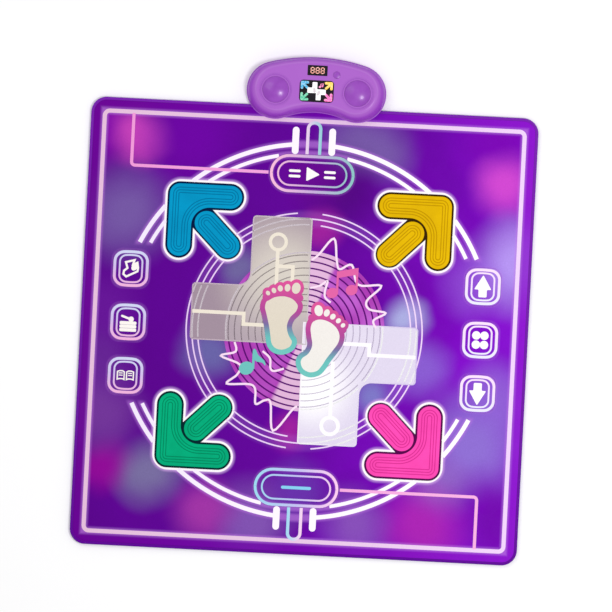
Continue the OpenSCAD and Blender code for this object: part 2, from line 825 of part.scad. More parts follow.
module batteries() color([0.85, 0.65, 0.2])
    for (k = [-1:1]) translate([(k == 0 ? 1 : -1) * cell_shift, cell_y + k * cell_pitch, cell_z])
        rotate([0, k == 0 ? 90 : -90, 0]) translate([0, 0, -cell_len / 2]) {
            cylinder(r = cell_r, h = cell_len - 1.4);
            cylinder(r = 2.7, h = cell_len);
        }

// Spring end of each battery: a closing coil swept along a helix
spring_turns = 4;
spring_wire_r = 0.35;
spring_steps = 12;

function helix(x0, x1, r0, r1) = [for (k = [0:spring_turns * spring_steps])
    let(t = k / (spring_turns * spring_steps), a = 360 * k / spring_steps, r = r0 + (r1 - r0) * t)
    [x0 + (x1 - x0) * t, r * cos(a), r * sin(a)]];

// A tube of radius r swept along points, with one ring of sides at each point
module tube(path, r, sides) {
    n = len(path);
    rings = [for (k = [0:n - 1])
        let(
            along = path[min(k + 1, n - 1)] - path[max(k - 1, 0)],
            t = along / norm(along),
            side = abs(t[2]) > 0.9 ? [1, 0, 0] : [0, 0, 1],
            u = cross(t, side) / norm(cross(t, side)),
            v = cross(t, u)
        )
        [for (j = [0:sides - 1]) path[k] + r * (cos(360 * j / sides) * u + sin(360 * j / sides) * v)]];
    points = [for (ring = rings) each ring];
    walls = [for (k = [0:n - 2], j = [0:sides - 1]) let(m = (j + 1) % sides) each [
        [k * sides + j, k * sides + m, (k + 1) * sides + m],
        [k * sides + j, (k + 1) * sides + m, (k + 1) * sides + j],
    ]];
    start = [for (j = [1:sides - 2]) [0, j + 1, j]];
    end = [for (j = [1:sides - 2]) [(n - 1) * sides, (n - 1) * sides + j, (n - 1) * sides + j + 1]];
    polyhedron(points, concat(walls, start, end));
}

module battery_springs() color([0.8, 0.8, 0.82])
    for (k = [-1:1]) {
        s = k == 0 ? -1 : 1;
        near = pocket_w / 2 - contact_plate_t - spring_wire_r - 0.05;
        far = cell_len / 2 - cell_shift + spring_wire_r + 0.1;
        translate([0, cell_y + k * cell_pitch, cell_z])
            tube(helix(s * near, s * far, 4.2, 2.4), spring_wire_r, 6);
    }

module battery_contacts() color([0.85, 0.83, 0.75])
    for (k = [-1:1], s = [-1, 1])
        translate([
            s * (pocket_w / 2 - contact_plate_t / 2),
            cell_y + k * cell_pitch,
            cell_z,
        ]) cube([contact_plate_t, contact_plate, contact_plate], center = true);

module battery_door() color([0.6, 0.32, 0.76])
    translate([0, cell_y, door_z]) difference() {
        translate([-door_w / 2, -door_d / 2, 0]) cube([door_w, door_d, door_t]);
        translate([0, door_d / 2 - lug_d / 2, -1]) {
            cylinder(r = 1.6, h = door_t + 2);
            cylinder(r = 2.6, h = 2);
        }
    }

module battery_door_screw() color([0.75, 0.75, 0.78])
    translate([0, cell_y + door_d / 2 - lug_d / 2, door_z]) case_screw(1.2, 3.6, 2.3, 1);

module clamp_bar() color([0.7, 0.7, 0.72])
    translate([0, clamp_y, mat_top]) linear_extrude(clamp_h) difference() {
        stadium(clamp_len, clamp_w);
        for (x = clamp_xs) translate([x, 0]) circle(clamp_shank_r + 0.1);
    }

module clamp_screws() color([0.75, 0.75, 0.78])
    for (x = clamp_xs) translate([x, clamp_y, mat_top + clamp_h + clamp_head_h]) mirror([0, 0, 1])
        case_screw(clamp_shank_r, mat_top + clamp_h - membrane_z + clamp_bite - 0.4, clamp_head_r, clamp_head_h);

module speaker_wires() color([0.75, 0.1, 0.1])
    both_sides() for (s = [-1, 1]) translate([0, lobe_y + 2 * s, 0]) tube(SPEAKER_WIRE, wire_r, wire_sides);

module battery_wires() color([0.1, 0.1, 0.1])
    for (s = [0, 1]) translate([0, lobe_y + 5 * s, 0]) tube(BATTERY_WIRE, wire_r, wire_sides);

// ---- The parts ----

anti_slip_base();
base_foam();
sensor_membrane();
contact_pattern();
spacer_foam();
top_cover();
edge_rim();
touch_pad(BLUE, [0.02, 0.56, 0.74]);  // arrow_blue
touch_pad(YELLOW, [0.93, 0.75, 0.02]);  // arrow_yellow
touch_pad(PINK, [1, 0.24, 0.69]);  // arrow_pink
touch_pad(GREEN, [0, 0.63, 0.43]);  // arrow_green
touch_pad(START, [0.3, 0.02, 0.45]);  // start_pad
touch_pad(SELECT, [0.3, 0.02, 0.45]);  // select_pad
touch_pad(MELODY, [0.3, 0.02, 0.5]);  // melody_pad
touch_pad(DRUM, [0.3, 0.02, 0.5]);  // drum_pad
touch_pad(BOOK, [0.3, 0.02, 0.5]);  // book_pad
touch_pad(UP, [0.4, 0.1, 0.6]);  // up_pad
touch_pad(MODE, [0.4, 0.1, 0.6]);  // mode_pad
touch_pad(DOWN, [0.4, 0.1, 0.6]);  // down_pad
pad_contacts(BLUE);  // arrow_blue_contacts
pad_contacts(YELLOW);  // arrow_yellow_contacts
pad_contacts(PINK);  // arrow_pink_contacts
pad_contacts(GREEN);  // arrow_green_contacts
pad_contacts(START);  // start_contacts
pad_contacts(SELECT);  // select_contacts
pad_contacts(MELODY);  // melody_contact
pad_contacts(DRUM);  // drum_contact
pad_contacts(BOOK);  // book_contact
pad_contacts(UP);  // up_contact
pad_contacts(MODE);  // mode_contact
pad_contacts(DOWN);  // down_contact
pod_bottom_shell();
pod_top_shell();
speaker_dome(-1);  // left_speaker_dome
speaker_dome(1);  // right_speaker_dome
speaker(-1);  // left_speaker
speaker(1);  // right_speaker
score_window();
score_display();
screen_window();
screen_panel();
power_button();
power_switch();
main_board();
board_parts();
membrane_connector();
batteries();
battery_springs();
battery_contacts();
battery_door();
battery_door_screw();
pod_screws();
pod_feet();
clamp_bar();
clamp_screws();
board_screws();
speaker_wires();
battery_wires();
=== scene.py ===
"""Looks of the dance rhythm mat: printed mat, raised pads, purple pod, studio."""

import logging
import math
from dataclasses import dataclass, field
from enum import Enum
from functools import cache
from typing import Callable, Sequence

import bmesh
import bpy
from mathutils import Matrix, Vector


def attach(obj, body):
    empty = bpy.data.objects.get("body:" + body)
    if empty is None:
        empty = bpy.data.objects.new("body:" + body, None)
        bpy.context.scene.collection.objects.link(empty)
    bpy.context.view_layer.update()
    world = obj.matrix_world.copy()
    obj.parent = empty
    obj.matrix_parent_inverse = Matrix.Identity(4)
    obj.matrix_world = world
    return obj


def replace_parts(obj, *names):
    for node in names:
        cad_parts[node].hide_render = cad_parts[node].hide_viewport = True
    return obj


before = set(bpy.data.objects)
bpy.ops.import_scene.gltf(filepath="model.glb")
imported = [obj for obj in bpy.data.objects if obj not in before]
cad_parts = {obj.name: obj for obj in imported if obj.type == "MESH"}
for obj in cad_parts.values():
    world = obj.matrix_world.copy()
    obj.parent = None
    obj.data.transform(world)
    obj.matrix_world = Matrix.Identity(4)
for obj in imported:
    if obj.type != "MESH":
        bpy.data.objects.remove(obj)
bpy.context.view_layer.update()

LOG = logging.getLogger("dance_mat")
MM = 0.001

Point = tuple[float, float]
Colour = tuple[int, int, int]
Stops = tuple[tuple[float, Colour], ...]
Corner = tuple[float, float, float]

# Heights over the floor and thicknesses, in millimetres.
MAT_TOP = 8.6
PAD_TOP = 9.0
PAD_PRINT = PAD_TOP + 0.03
ARROW_RISE = 1.8
POD_FACE = 38.0
PRINT_STEP = 0.06
PRINT_THICK = 0.05

# Places on the mat, in millimetres from its middle.
MAT_HALF = 465.0
BORDER_AT = 436.5
OUTER_RING, INNER_RING = 388.0, 368.0
FINE_RINGS = (245.0, 233.0, 221.0)
PILL_Y = 326.0
PILL_STRAIGHT, PILL_R = 48.5, 39.5
ICON_X, ICON_PITCH = 366.0, 111.0
LOBE_X, LOBE_Y = 85.0, 497.0

# The arrow: its outer corner, its two bent bars and the short bar on the diagonal.
ARROW_AT, ARROW_R = 297.0, 25.0
BAR_HALF, BAR_END = 27.5, 130.5
SHAFT_HALF, SHAFT_END = 27.0, 129.0
BAR_NEAR, BAR_FAR = ARROW_AT - BAR_END, ARROW_AT - BAR_HALF
SHAFT_NEAR, SHAFT_FAR = 237.6, 381.1
DIAGONAL = math.sqrt(0.5)

# A face whose normal rises more than this counts as level.
LEVEL_Z = 0.9998


class Layer(Enum):
    """Order of the inks that lie over each other on the cover."""

    DISC = 0
    GROOVES = 1
    RINGS = 2
    CROSS = 3
    CIRCUIT = 4
    STAR = 5
    NOTES = 6
    FEET = 7
    SOLES = 8
    TOES = 9

    def height(self) -> float:
        """Millimetres from the cover to the underside of this ink."""
        return MAT_TOP + 0.01 + self.value * PRINT_STEP


def even(*colours: Colour) -> Stops:
    """Stops that spread the colours evenly."""
    return tuple((k / (len(colours) - 1), colour) for k, colour in enumerate(colours))


def linear(colour: Colour) -> tuple[float, float, float, float]:
    """Turns a display colour into the linear value that a shader socket takes.

    Args:
        colour: Red, green and blue from 0 to 255.

    Returns:
        Linear red, green, blue and an alpha of one.
    """
    parts = [part / 255 for part in colour]
    levels = [p / 12.92 if p <= 0.04045 else ((p + 0.055) / 1.055) ** 2.4 for p in parts]
    return (levels[0], levels[1], levels[2], 1.0)


# ---------------------------------------------------------------- shader maths


class Signal:
    """A shader value that can be added, scaled and compared like a number."""

    def __init__(self, kit: "ShaderKit", socket: bpy.types.NodeSocket) -> None:
        """Keeps the socket together with the tree that it belongs to."""
        self.kit = kit
        self.socket = socket

    def op(self, name: str, other: "Signal | float" = 0.0, clamp: bool = False) -> "Signal":
        """Applies one Math node.

        Args:
            name: Operation of the Math node.
            other: Second value, where the operation has one.
            clamp: True to hold the result between 0 and 1.

        Returns:
            The result.
        """
        return self.kit.math(name, self, other, clamp)

    def __add__(self, other: "Signal | float") -> "Signal":
        """Sum."""
        return self.op("ADD", other)

    def __sub__(self, other: "Signal | float") -> "Signal":
        """Difference."""
        return self.op("SUBTRACT", other)

    def __mul__(self, other: "Signal | float") -> "Signal":
        """Product."""
        return self.op("MULTIPLY", other)

    def lowest(self, other: "Signal | float") -> "Signal":
        """The smaller of two values."""
        return self.op("MINIMUM", other)

    def highest(self, other: "Signal | float") -> "Signal":
        """The larger of two values."""
        return self.op("MAXIMUM", other)

    def size(self) -> "Signal":
        """The value without its sign."""
        return self.op("ABSOLUTE")

    def within(self, low: float, high: float) -> "Signal":
        """The value held between two limits."""
        return self.highest(low).lowest(high)

    def fade(self, start: float, end: float, first: float = 1.0, last: float = 0.0) -> "Signal":
        """A soft step: first up to start, last from end on.

        Args:
            start: Value where the change begins.
            end: Value where the change ends.
            first: Result before start.
            last: Result after end.

        Returns:
            The softly stepped value.
        """
        node = self.kit.add("ShaderNodeMapRange", interpolation_type="SMOOTHSTEP")
        self.kit.feed(node.inputs[0], self)
        for index, value in enumerate((start, end, first, last), start=1):
            node.inputs[index].default_value = value
        return Signal(self.kit, node.outputs[0])


class ShaderKit:
    """Builds one shader node tree with short calls."""

    def __init__(self, tree: bpy.types.NodeTree) -> None:
        """Keeps the tree that the nodes go into."""
        self.tree = tree

    def add(self, kind: str, **settings: object) -> bpy.types.Node:
        """Adds a node.

        Args:
            kind: Blender's name of the node type.
            **settings: Properties to set on it.

        Returns:
            The new node.
        """
        node = self.tree.nodes.new(kind)
        for name, value in settings.items():
            setattr(node, name, value)
        return node

    def feed(self, target: bpy.types.NodeSocket, source: object) -> None:
        """Links a signal or socket to an input, or sets a plain value on it.

        Args:
            target: The input.
            source: Signal, output socket, number or tuple.
        """
        if isinstance(source, Signal):
            self.tree.links.new(source.socket, target)
        elif isinstance(source, bpy.types.NodeSocket):
            self.tree.links.new(source, target)
        else:
            target.default_value = source

    def math(self, name: str, one: object, two: object = 0.0, clamp: bool = False) -> Signal:
        """Adds a Math node.

        Args:
            name: Its operation.
            one: First value.
            two: Second value.
            clamp: True to hold the result between 0 and 1.

        Returns:
            Its result.
        """
        node = self.add("ShaderNodeMath", operation=name, use_clamp=clamp)
        self.feed(node.inputs[0], one)
        self.feed(node.inputs[1], two)
        return Signal(self, node.outputs[0])

    def span(self, one: Signal, two: Signal) -> Signal:
        """Length of a step of one across and two along."""
        return (one * one + two * two).op("SQRT")

    def mix(self, share: object, one: object, two: object, blend: str = "MIX") -> bpy.types.NodeSocket:
        """Mixes two colours.

        Args:
            share: How much of the second colour, 0 to 1.
            one: First colour, a socket or a linear tuple.
            two: Second colour, a socket or a linear tuple.
            blend: Blend type of the Mix node.

        Returns:
            The mixed colour.
        """
        node = self.add("ShaderNodeMix", data_type="RGBA", blend_type=blend)
        self.feed(node.inputs[0], share)
        self.feed(node.inputs[6], one)
        self.feed(node.inputs[7], two)
        return node.outputs[2]

    def ramp(self, share: object, stops: Stops) -> bpy.types.NodeSocket:
        """Colours along a ramp.

        Args:
            share: Place on the ramp, 0 to 1.
            stops: Places and display colours, in order.

        Returns:
            The colour.
        """
        node = self.add("ShaderNodeValToRGB")
        ramp = node.color_ramp
        while len(ramp.elements) < len(stops):
            ramp.elements.new(0.5)
        for element, (place, colour) in zip(ramp.elements, stops):
            element.position = place
            element.color = linear(colour)
        self.feed(node.inputs[0], share)
        return node.outputs[0]

    def position(self) -> bpy.types.NodeSocket:
        """The place on the piece in millimetres of the mat's frame."""
        source = self.add("ShaderNodeTexCoord").outputs["Object"]
        node = self.add("ShaderNodeVectorMath", operation="SCALE")
        self.feed(node.inputs[0], source)
        node.inputs["Scale"].default_value = 1 / MM
        return node.outputs[0]

    def axes(self, vector: object) -> tuple[Signal, Signal, Signal]:
        """Splits a place into across, along and up."""
        node = self.add("ShaderNodeSeparateXYZ")
        self.feed(node.inputs[0], vector)
        return tuple(Signal(self, out) for out in node.outputs)

    def noise(self, vector: object, size: float, detail: float = 2.0, warp: float = 0.0) -> Signal:
        """Cloudy noise.

        Args:
            vector: Place in millimetres.
            size: Size of a cloud in millimetres.
            detail: Octaves.
            warp: Distortion.

        Returns:
            Value from 0 to 1, mostly near a half.
        """
        node = self.add("ShaderNodeTexNoise")
        self.feed(node.inputs["Vector"], vector)
        node.inputs["Scale"].default_value = 1 / size
        node.inputs["Detail"].default_value = detail
        node.inputs["Distortion"].default_value = warp
        return Signal(self, node.outputs[0])

    def mottle(
        self, place: object, size: float, detail: float, low: float,
        one: Colour, two: Colour, share: float = 1.0,
    ) -> bpy.types.NodeSocket:
        """Mixes two colours by cloudy noise.

        Args:
            place: Place in millimetres.
            size: Size of a cloud in millimetres.
            detail: Octaves.
            low: Noise up to which only the first colour shows; the second is full as far below one.
            one: First colour.
            two: Second colour.
            share: Largest share of the second colour.

        Returns:
            The mottled colour.
        """
        cloud = self.noise(place, size, detail).fade(low, 1 - low, 0.0, share)
        return self.mix(cloud, linear(one), linear(two))

    def group(self, tree: bpy.types.NodeTree, **inputs: object) -> bpy.types.Node:
        """Places a node group.

        Args:
            tree: The group.
            **inputs: Values or sockets for its inputs, by name.

        Returns:
            The group node.
        """
        node = self.add("ShaderNodeGroup")
        node.node_tree = tree
        for name, value in inputs.items():
            self.feed(node.inputs[name], value)
        return node


# ---------------------------------------------------------------- shared effects


def group_kit(
    name: str, inputs: Sequence[str], outputs: Sequence[str]
) -> tuple[ShaderKit, dict[str, Signal]]:
    """Starts a node group. Places and centres go in as vectors, all else goes in and out as numbers.

    Args:
        name: Name of the group.
        inputs: Names of its inputs.
        outputs: Names of its outputs.
    """
    tree = bpy.data.node_groups.new(name, "ShaderNodeTree")
    for way, labels in (("INPUT", inputs), ("OUTPUT", outputs)):
        for label in labels:
            kind = "NodeSocketVector" if label in ("Place", "Centre") else "NodeSocketFloat"
            tree.interface.new_socket(label, in_out=way, socket_type=kind)
    kit = ShaderKit(tree)
    entry = kit.add("NodeGroupInput")
    return kit, {label: Signal(kit, entry.outputs[label]) for label in inputs}


def close_group(kit: ShaderKit, **results: Signal) -> bpy.types.NodeTree:
    """Feeds the outputs of a group's tree by name, and hands the finished tree back."""
    leave = kit.add("NodeGroupOutput")
    for label, value in results.items():
        kit.feed(leave.inputs[label], value)
    return kit.tree


@cache
def vinyl_grain() -> bpy.types.NodeTree:
    """Fine pebbled grain of a calendered vinyl: Shade near one, and Height."""
    kit, given = group_kit("vinyl_grain", ("Place", "Strength"), ("Shade", "Height"))
    pebble = kit.add("ShaderNodeTexVoronoi", feature="SMOOTH_F1")
    kit.feed(pebble.inputs["Vector"], given["Place"])
    pebble.inputs["Scale"].default_value = 0.55
    height = Signal(kit, pebble.outputs["Distance"]) * 0.6 + kit.noise(given["Place"], 4.0, 3.0) * 0.4
    return close_group(kit, Shade=(height - 0.45) * given["Strength"] + 1.0, Height=height)


@cache
def soft_spot() -> bpy.types.NodeTree:
    """A soft round patch that fades from its middle."""
    kit, given = group_kit("soft_spot", ("Place", "Centre", "Radius"), ("Mask",))
    away = kit.add("ShaderNodeVectorMath", operation="DISTANCE")
    kit.feed(away.inputs[0], given["Place"])
    kit.feed(away.inputs[1], given["Centre"])
    share = Signal(kit, away.outputs["Value"]).op("DIVIDE", given["Radius"])
    return close_group(kit, Mask=share.fade(0.1, 1.0))


@cache
def handling_marks() -> bpy.types.NodeTree:
    """Handling marks of a moulded or plated surface: a roughness Mask and Height."""
    kit, given = group_kit("handling_marks", ("Place", "Amount"), ("Mask", "Height"))
    smear = kit.noise(given["Place"], 26.0, 3.0, 0.6)
    speck = kit.noise(given["Place"], 1.6, 2.0)
    mask = smear.fade(0.4, 0.7, 0.0, 1.0) * given["Amount"]
    return close_group(kit, Mask=mask, Height=smear * 0.3 + speck * 0.7)


@cache
def arrow_distance() -> bpy.types.NodeTree:
    """Distance in millimetres from the outline of the nearest arrow pad."""
    kit, given = group_kit("arrow_gap", ("Place",), ("Gap",))
    x, y, _ = kit.axes(given["Place"])
    far, near = x.size().highest(y.size()), x.size().lowest(y.size())
    bar = kit.span(far - BAR_FAR, near - near.within(BAR_NEAR, BAR_FAR)) - BAR_HALF
    along = (far + near) * DIAGONAL
    across = (far - near) * DIAGONAL
    shaft = kit.span(along - along.within(SHAFT_NEAR, SHAFT_FAR), across) - SHAFT_HALF
    return close_group(kit, Gap=bar.lowest(shaft))


# ---------------------------------------------------------------- finishes


@dataclass(frozen=True)
class Finish:
    """A material of the mat.

    Attributes:
        name: Name of the material.
        gloss: Specular level.
    """

    name: str
    gloss: float = field(default=0.03, kw_only=True)

    def material(self) -> bpy.types.Material:
        """The material, built the first time it is asked for."""
        label = f"{self.name}_finish"
        found = bpy.data.materials.get(label)
        if found is not None:
            return found
        made = bpy.data.materials.new(label)
        made.use_nodes = True
        shader = made.node_tree.nodes["Principled BSDF"]
        shader.inputs["Specular IOR Level"].default_value = self.gloss
        self.paint(ShaderKit(made.node_tree), shader)
        return made

    def paint(self, kit: ShaderKit, shader: bpy.types.Node) -> None:
        """Feeds the shader. Each finish has its own way."""
        raise NotImplementedError

    @staticmethod
    def bump(kit: ShaderKit, shader: bpy.types.Node, height: object, depth: float) -> None:
        """Raises the surface by a height from 0 to 1, depth millimetres deep."""
        node = kit.add("ShaderNodeBump")
        node.inputs["Distance"].default_value = depth * MM
        node.inputs["Strength"].default_value = 0.6
        kit.feed(node.inputs["Height"], height)
        kit.feed(shader.inputs["Normal"], node.outputs[0])

    def grain(
        self, kit: ShaderKit, shader: bpy.types.Node, place: object, base: object,
        strength: float, depth: float,
    ) -> None:
        """Feeds the colour with the vinyl's grain in its shade and its relief.

        Args:
            kit: The material's kit.
            shader: Its Principled shader.
            place: Place in millimetres.
            base: The colour.
            strength: How much the grain shades the colour.
            depth: Depth of the grain in millimetres.
        """
        grain = kit.group(vinyl_grain(), Place=place, Strength=strength)
        kit.feed(shader.inputs["Base Color"], kit.mix(1.0, base, grain.outputs["Shade"], "MULTIPLY"))
        self.bump(kit, shader, grain.outputs["Height"], depth)

    @staticmethod
    def wear(
        kit: ShaderKit, shader: bpy.types.Node, place: object, amount: float, rough: float
    ) -> bpy.types.NodeSocket:
        """Feeds the roughness with handling marks of that amount, and hands their relief back."""
        marks = kit.group(handling_marks(), Place=place, Amount=amount)
        kit.feed(shader.inputs["Roughness"], Signal(kit, marks.outputs["Mask"]) + rough)
        return marks.outputs["Height"]


@dataclass(frozen=True)
class PlainFinish(Finish):
    """One main colour with a mottle, grain and handling marks.

    Attributes:
        colour: Main colour.
        other: Colour of the mottle.
        mottle: Size of the mottle in millimetres.
        rough: Roughness.
        metal: Metallic.
        coat: Clear coat.
        relief: Depth of the grain in millimetres.
    """

    colour: Colour
    other: Colour
    mottle: float
    rough: float
    metal: float = 0.0
    coat: float = 0.0
    relief: float = 0.05

    def paint(self, kit: ShaderKit, shader: bpy.types.Node) -> None:
        """Feeds the shader with the mottled colour, marks and grain."""
        place = kit.position()
        colour = kit.mottle(place, self.mottle, 4.0, 0.35, self.colour, self.other)
        kit.feed(shader.inputs["Base Color"], colour)
        marks = self.wear(kit, shader, place, 0.15, self.rough)
        shader.inputs["Metallic"].default_value = self.metal
        shader.inputs["Coat Weight"].default_value = self.coat
        shader.inputs["Coat Roughness"].default_value = 0.12
        self.bump(kit, shader, marks, self.relief)


@dataclass(frozen=True)
class InkFinish(Finish):
    """A printed ink whose colour runs from one place to another.

    Attributes:
        stops: Colours from start to end.
        start: Place of the first colour, in millimetres.
        end: Place of the last colour.
        cover: How much of what lies beneath the ink hides.
    """

    stops: Stops
    start: Point = (-MAT_HALF, 0.0)
    end: Point = (MAT_HALF, 0.0)
    cover: float = 1.0

    def paint(self, kit: ShaderKit, shader: bpy.types.Node) -> None:
        """Feeds the shader with the running colour under the vinyl's grain."""
        place = kit.position()
        x, y, _ = kit.axes(place)
        run = Vector(self.end) - Vector(self.start)
        scale = 1 / run.length_squared
        share = (x - self.start[0]) * (run.x * scale) + (y - self.start[1]) * (run.y * scale)
        self.grain(kit, shader, place, kit.ramp(share, self.stops), 0.14, 0.05)
        shader.inputs["Roughness"].default_value = 0.5
        shader.inputs["Alpha"].default_value = self.cover


@dataclass(frozen=True)
class Dye:
    """A soft patch of another colour in the cover's print.

    Attributes:
        at: Middle of the patch in millimetres.
        radius: Where it has faded out.
        colour: Its colour.
        share: How strong it is in the middle.
    """

    at: Point
    radius: float
    colour: Colour
    share: float


@dataclass(frozen=True)
class CoverFinish(Finish):
    """The printed vinyl: purple clouds, soft patches and the glow round the prints.

    Attributes:
        dyes: The patches, the first one lowest.
        drift: How far the clouds push a patch's edge, in millimetres.
    """

    dyes: tuple[Dye, ...]
    drift: float = 50.0

    def paint(self, kit: ShaderKit, shader: bpy.types.Node) -> None:
        """Feeds the shader with clouds, patches, glows and grain."""
        place = kit.position()
        x, y, _ = kit.axes(place)
        cloud = kit.noise(place, 240.0, 2.0, 0.8)
        side = x * 0.00085 + y * -0.00016 + 0.42
        tone = (side + (cloud - 0.5) * 0.4).op("ADD", 0.0, True)
        base = kit.ramp(tone, (
            (0.0, (86, 0, 134)), (0.45, (96, 0, 152)), (0.7, (120, 2, 188)), (1.0, (136, 14, 210)),
        ))
        base = self.dyed(kit, place, base)
        base = self.outer_margin(kit, x, y, base)
        base = self.glows(kit, place, x, y, base)
        self.grain(kit, shader, place, base, 0.22, 0.12)
        self.wear(kit, shader, place, 0.12, 0.46)

    def dyed(self, kit: ShaderKit, place: object, base: object) -> bpy.types.NodeSocket:
        """Lays the soft patches over the base.

        Args:
            kit: The material's kit.
            place: Place in millimetres.
            base: Colour so far.

        Returns:
            The colour with the patches.
        """
        clouds = kit.add("ShaderNodeTexNoise")
        kit.feed(clouds.inputs["Vector"], place)
        clouds.inputs["Scale"].default_value = 1 / 130
        push = kit.add("ShaderNodeVectorMath", operation="MULTIPLY_ADD")
        kit.feed(push.inputs[0], clouds.outputs["Color"])
        push.inputs[1].default_value = (self.drift, self.drift, 0)
        kit.feed(push.inputs[2], place)
        for dye in self.dyes:
            centre = (dye.at[0] + self.drift / 2, dye.at[1] + self.drift / 2, MAT_TOP)
            node = kit.group(soft_spot(), Place=push.outputs[0], Centre=centre, Radius=dye.radius)
            base = kit.mix(Signal(kit, node.outputs["Mask"]) * dye.share, base, linear(dye.colour))
        return base

    def outer_margin(self, kit: ShaderKit, x: Signal, y: Signal, base: object) -> bpy.types.NodeSocket:
        """Evens out the strip outside the border line, darker to the left."""
        edge = x.size().highest(y.size())
        tone = (x * 0.001 + 0.5).op("ADD", 0.0, True)
        strip = kit.ramp(tone, even((102, 0, 142), (112, 0, 168), (140, 20, 204)))
        return kit.mix(edge.fade(434.0, 440.0, 0.0, 0.9), base, strip)

    def glows(
        self, kit: ShaderKit, place: object, x: Signal, y: Signal, base: object
    ) -> bpy.types.NodeSocket:
        """Lays the soft light round the border, rings, frames and arrows, and the arrows' white line.

        Args:
            kit: The material's kit.
            place: Place in millimetres.
            x: Across.
            y: Along.
            base: Colour so far.

        Returns:
            The colour with the glows.
        """
        across, along = x.size(), y.size()
        edge = (across.highest(along) - BORDER_AT).size().fade(3.0, 11.0, 0.5, 0.0)
        out = kit.span(x, y)
        ring = ((out - OUTER_RING).size() - 1.0).lowest((out - INNER_RING).size())
        ring = ring.fade(2.0, 11.0, 0.5, 0.0) * along.fade(158.0, 170.0, 0.0, 1.0)
        thin = (out - FINE_RINGS[1]).size().fade(10.0, 22.0, 0.12, 0.0)
        pill = kit.span((across - PILL_STRAIGHT).highest(0.0), along - PILL_Y) - PILL_R
        row = (along.lowest((along - ICON_PITCH).size()) + 1.0).size()
        icon = kit.span(((across - ICON_X).size() - 17.0).highest(0.0), (row - 19.0).highest(0.0)) - 20.5
        frames = (pill.lowest(icon) + 2.5).size().fade(2.5, 8.0, 0.22, 0.0)
        soft = edge.highest(ring).highest(thin).highest(frames)
        base = kit.mix(soft, base, linear((190, 120, 224)))
        gap = Signal(kit, kit.group(arrow_distance(), Place=place).outputs["Gap"])
        base = kit.mix(gap.fade(4.6, 12.0, 0.75, 0.0), base, linear((200, 156, 222)))
        return kit.mix(gap.fade(4.2, 5.6, 1.0, 0.0), base, linear((252, 246, 250)))


@dataclass(frozen=True)
class DiscFinish(Finish):
    """The printed record in the middle: magenta with two pale wedges."""

    def paint(self, kit: ShaderKit, shader: bpy.types.Node) -> None:
        """Feeds the shader with the record's colour and wedges."""
        place = kit.position()
        x, y, _ = kit.axes(place)
        base = kit.mottle(place, 90.0, 2.0, 0.35, (166, 56, 172), (188, 94, 202))
        lean = x.op("DIVIDE", y)
        wedge = lean.fade(0.0, 0.035, 0.0, 1.0) * lean.fade(0.36, 0.46)
        self.grain(kit, shader, place, kit.mix(wedge * 0.85, base, linear((228, 190, 218))), 0.14, 0.05)
        shader.inputs["Roughness"].default_value = 0.48


@dataclass(frozen=True)
class CrossFinish(Finish):
    """A milky tint over the record: clearer at its ends, dense at its bright spot.

    Attributes:
        dim: Colour away from the bright spot.
        bright: Colour of the bright spot.
        centre: Middle of the bright spot in millimetres.
        reach: Where the bright spot has faded.
        thin: Cover away from the bright spot.
        dense: Cover at the bright spot.
        disc: Colour over the record.
    """

    dim: Colour
    bright: Colour
    centre: Point
    reach: float
    thin: float
    dense: float
    disc: Colour

    def paint(self, kit: ShaderKit, shader: bpy.types.Node) -> None:
        """Feeds the shader with the tint and its cover."""
        place = kit.position()
        spot = kit.group(soft_spot(), Place=place, Centre=(*self.centre, MAT_TOP), Radius=self.reach)
        mask = Signal(kit, spot.outputs["Mask"])
        x, y, _ = kit.axes(place)
        over = kit.span(x, y).fade(158.0, 168.0, 0.45, 0.0)
        base = kit.mix(over, linear(self.dim), linear(self.disc))
        self.grain(kit, shader, place, kit.mix(mask, base, linear(self.bright)), 0.12, 0.05)
        kit.feed(shader.inputs["Alpha"], mask * (self.dense - self.thin) + self.thin)
        shader.inputs["Roughness"].default_value = 0.48


@dataclass(frozen=True)
class ReliefFinish(Finish):
    """Raised soft vinyl of an arrow: darker in its grooves as painted shade, lighter on its ribs.

    Attributes:
        crest: Colour of the ribs.
        groove: Colour of the grooves, painted as their shade, also used for the mottle.
    """

    crest: Colour
    groove: Colour

    def paint(self, kit: ShaderKit, shader: bpy.types.Node) -> None:
        """Feeds the shader with colour by height as painted shade in the grooves, mottle and grain."""
        place = kit.position()
        up = kit.axes(place)[2]
        top = PAD_TOP + ARROW_RISE
        groove = linear(self.groove)
        # Painted shade: below the rib tops the colour turns to the groove colour.
        base = kit.mix(up.fade(top - 0.55, top - 0.08, 0.0, 1.0), groove, linear(self.crest))
        cloud = kit.noise(place, 45.0, 2.0)
        self.grain(kit, shader, place, kit.mix(cloud.fade(0.3, 0.7, 0.0, 0.25), base, groove), 0.16, 0.1)
        self.wear(kit, shader, place, 0.14, 0.42)


@dataclass(frozen=True)
class RimFinish(Finish):
    """The welded purple rim, darker towards the lower side as painted shade."""

    def paint(self, kit: ShaderKit, shader: bpy.types.Node) -> None:
        """Feeds the shader with the running colour, darker to the lower side as painted shade, and a fine
        grain.
        """
        place = kit.position()
        # Painted shade: the rim's colour darkens towards the lower side.
        tone = (kit.axes(place)[1] * 0.001 + 0.5).op("ADD", 0.0, True)
        base = kit.ramp(tone, ((0.0, (92, 4, 146)), (0.3, (106, 22, 158)), (1.0, (120, 36, 172))))
        self.grain(kit, shader, place, base, 0.2, 0.15)
        self.wear(kit, shader, place, 0.15, 0.38)


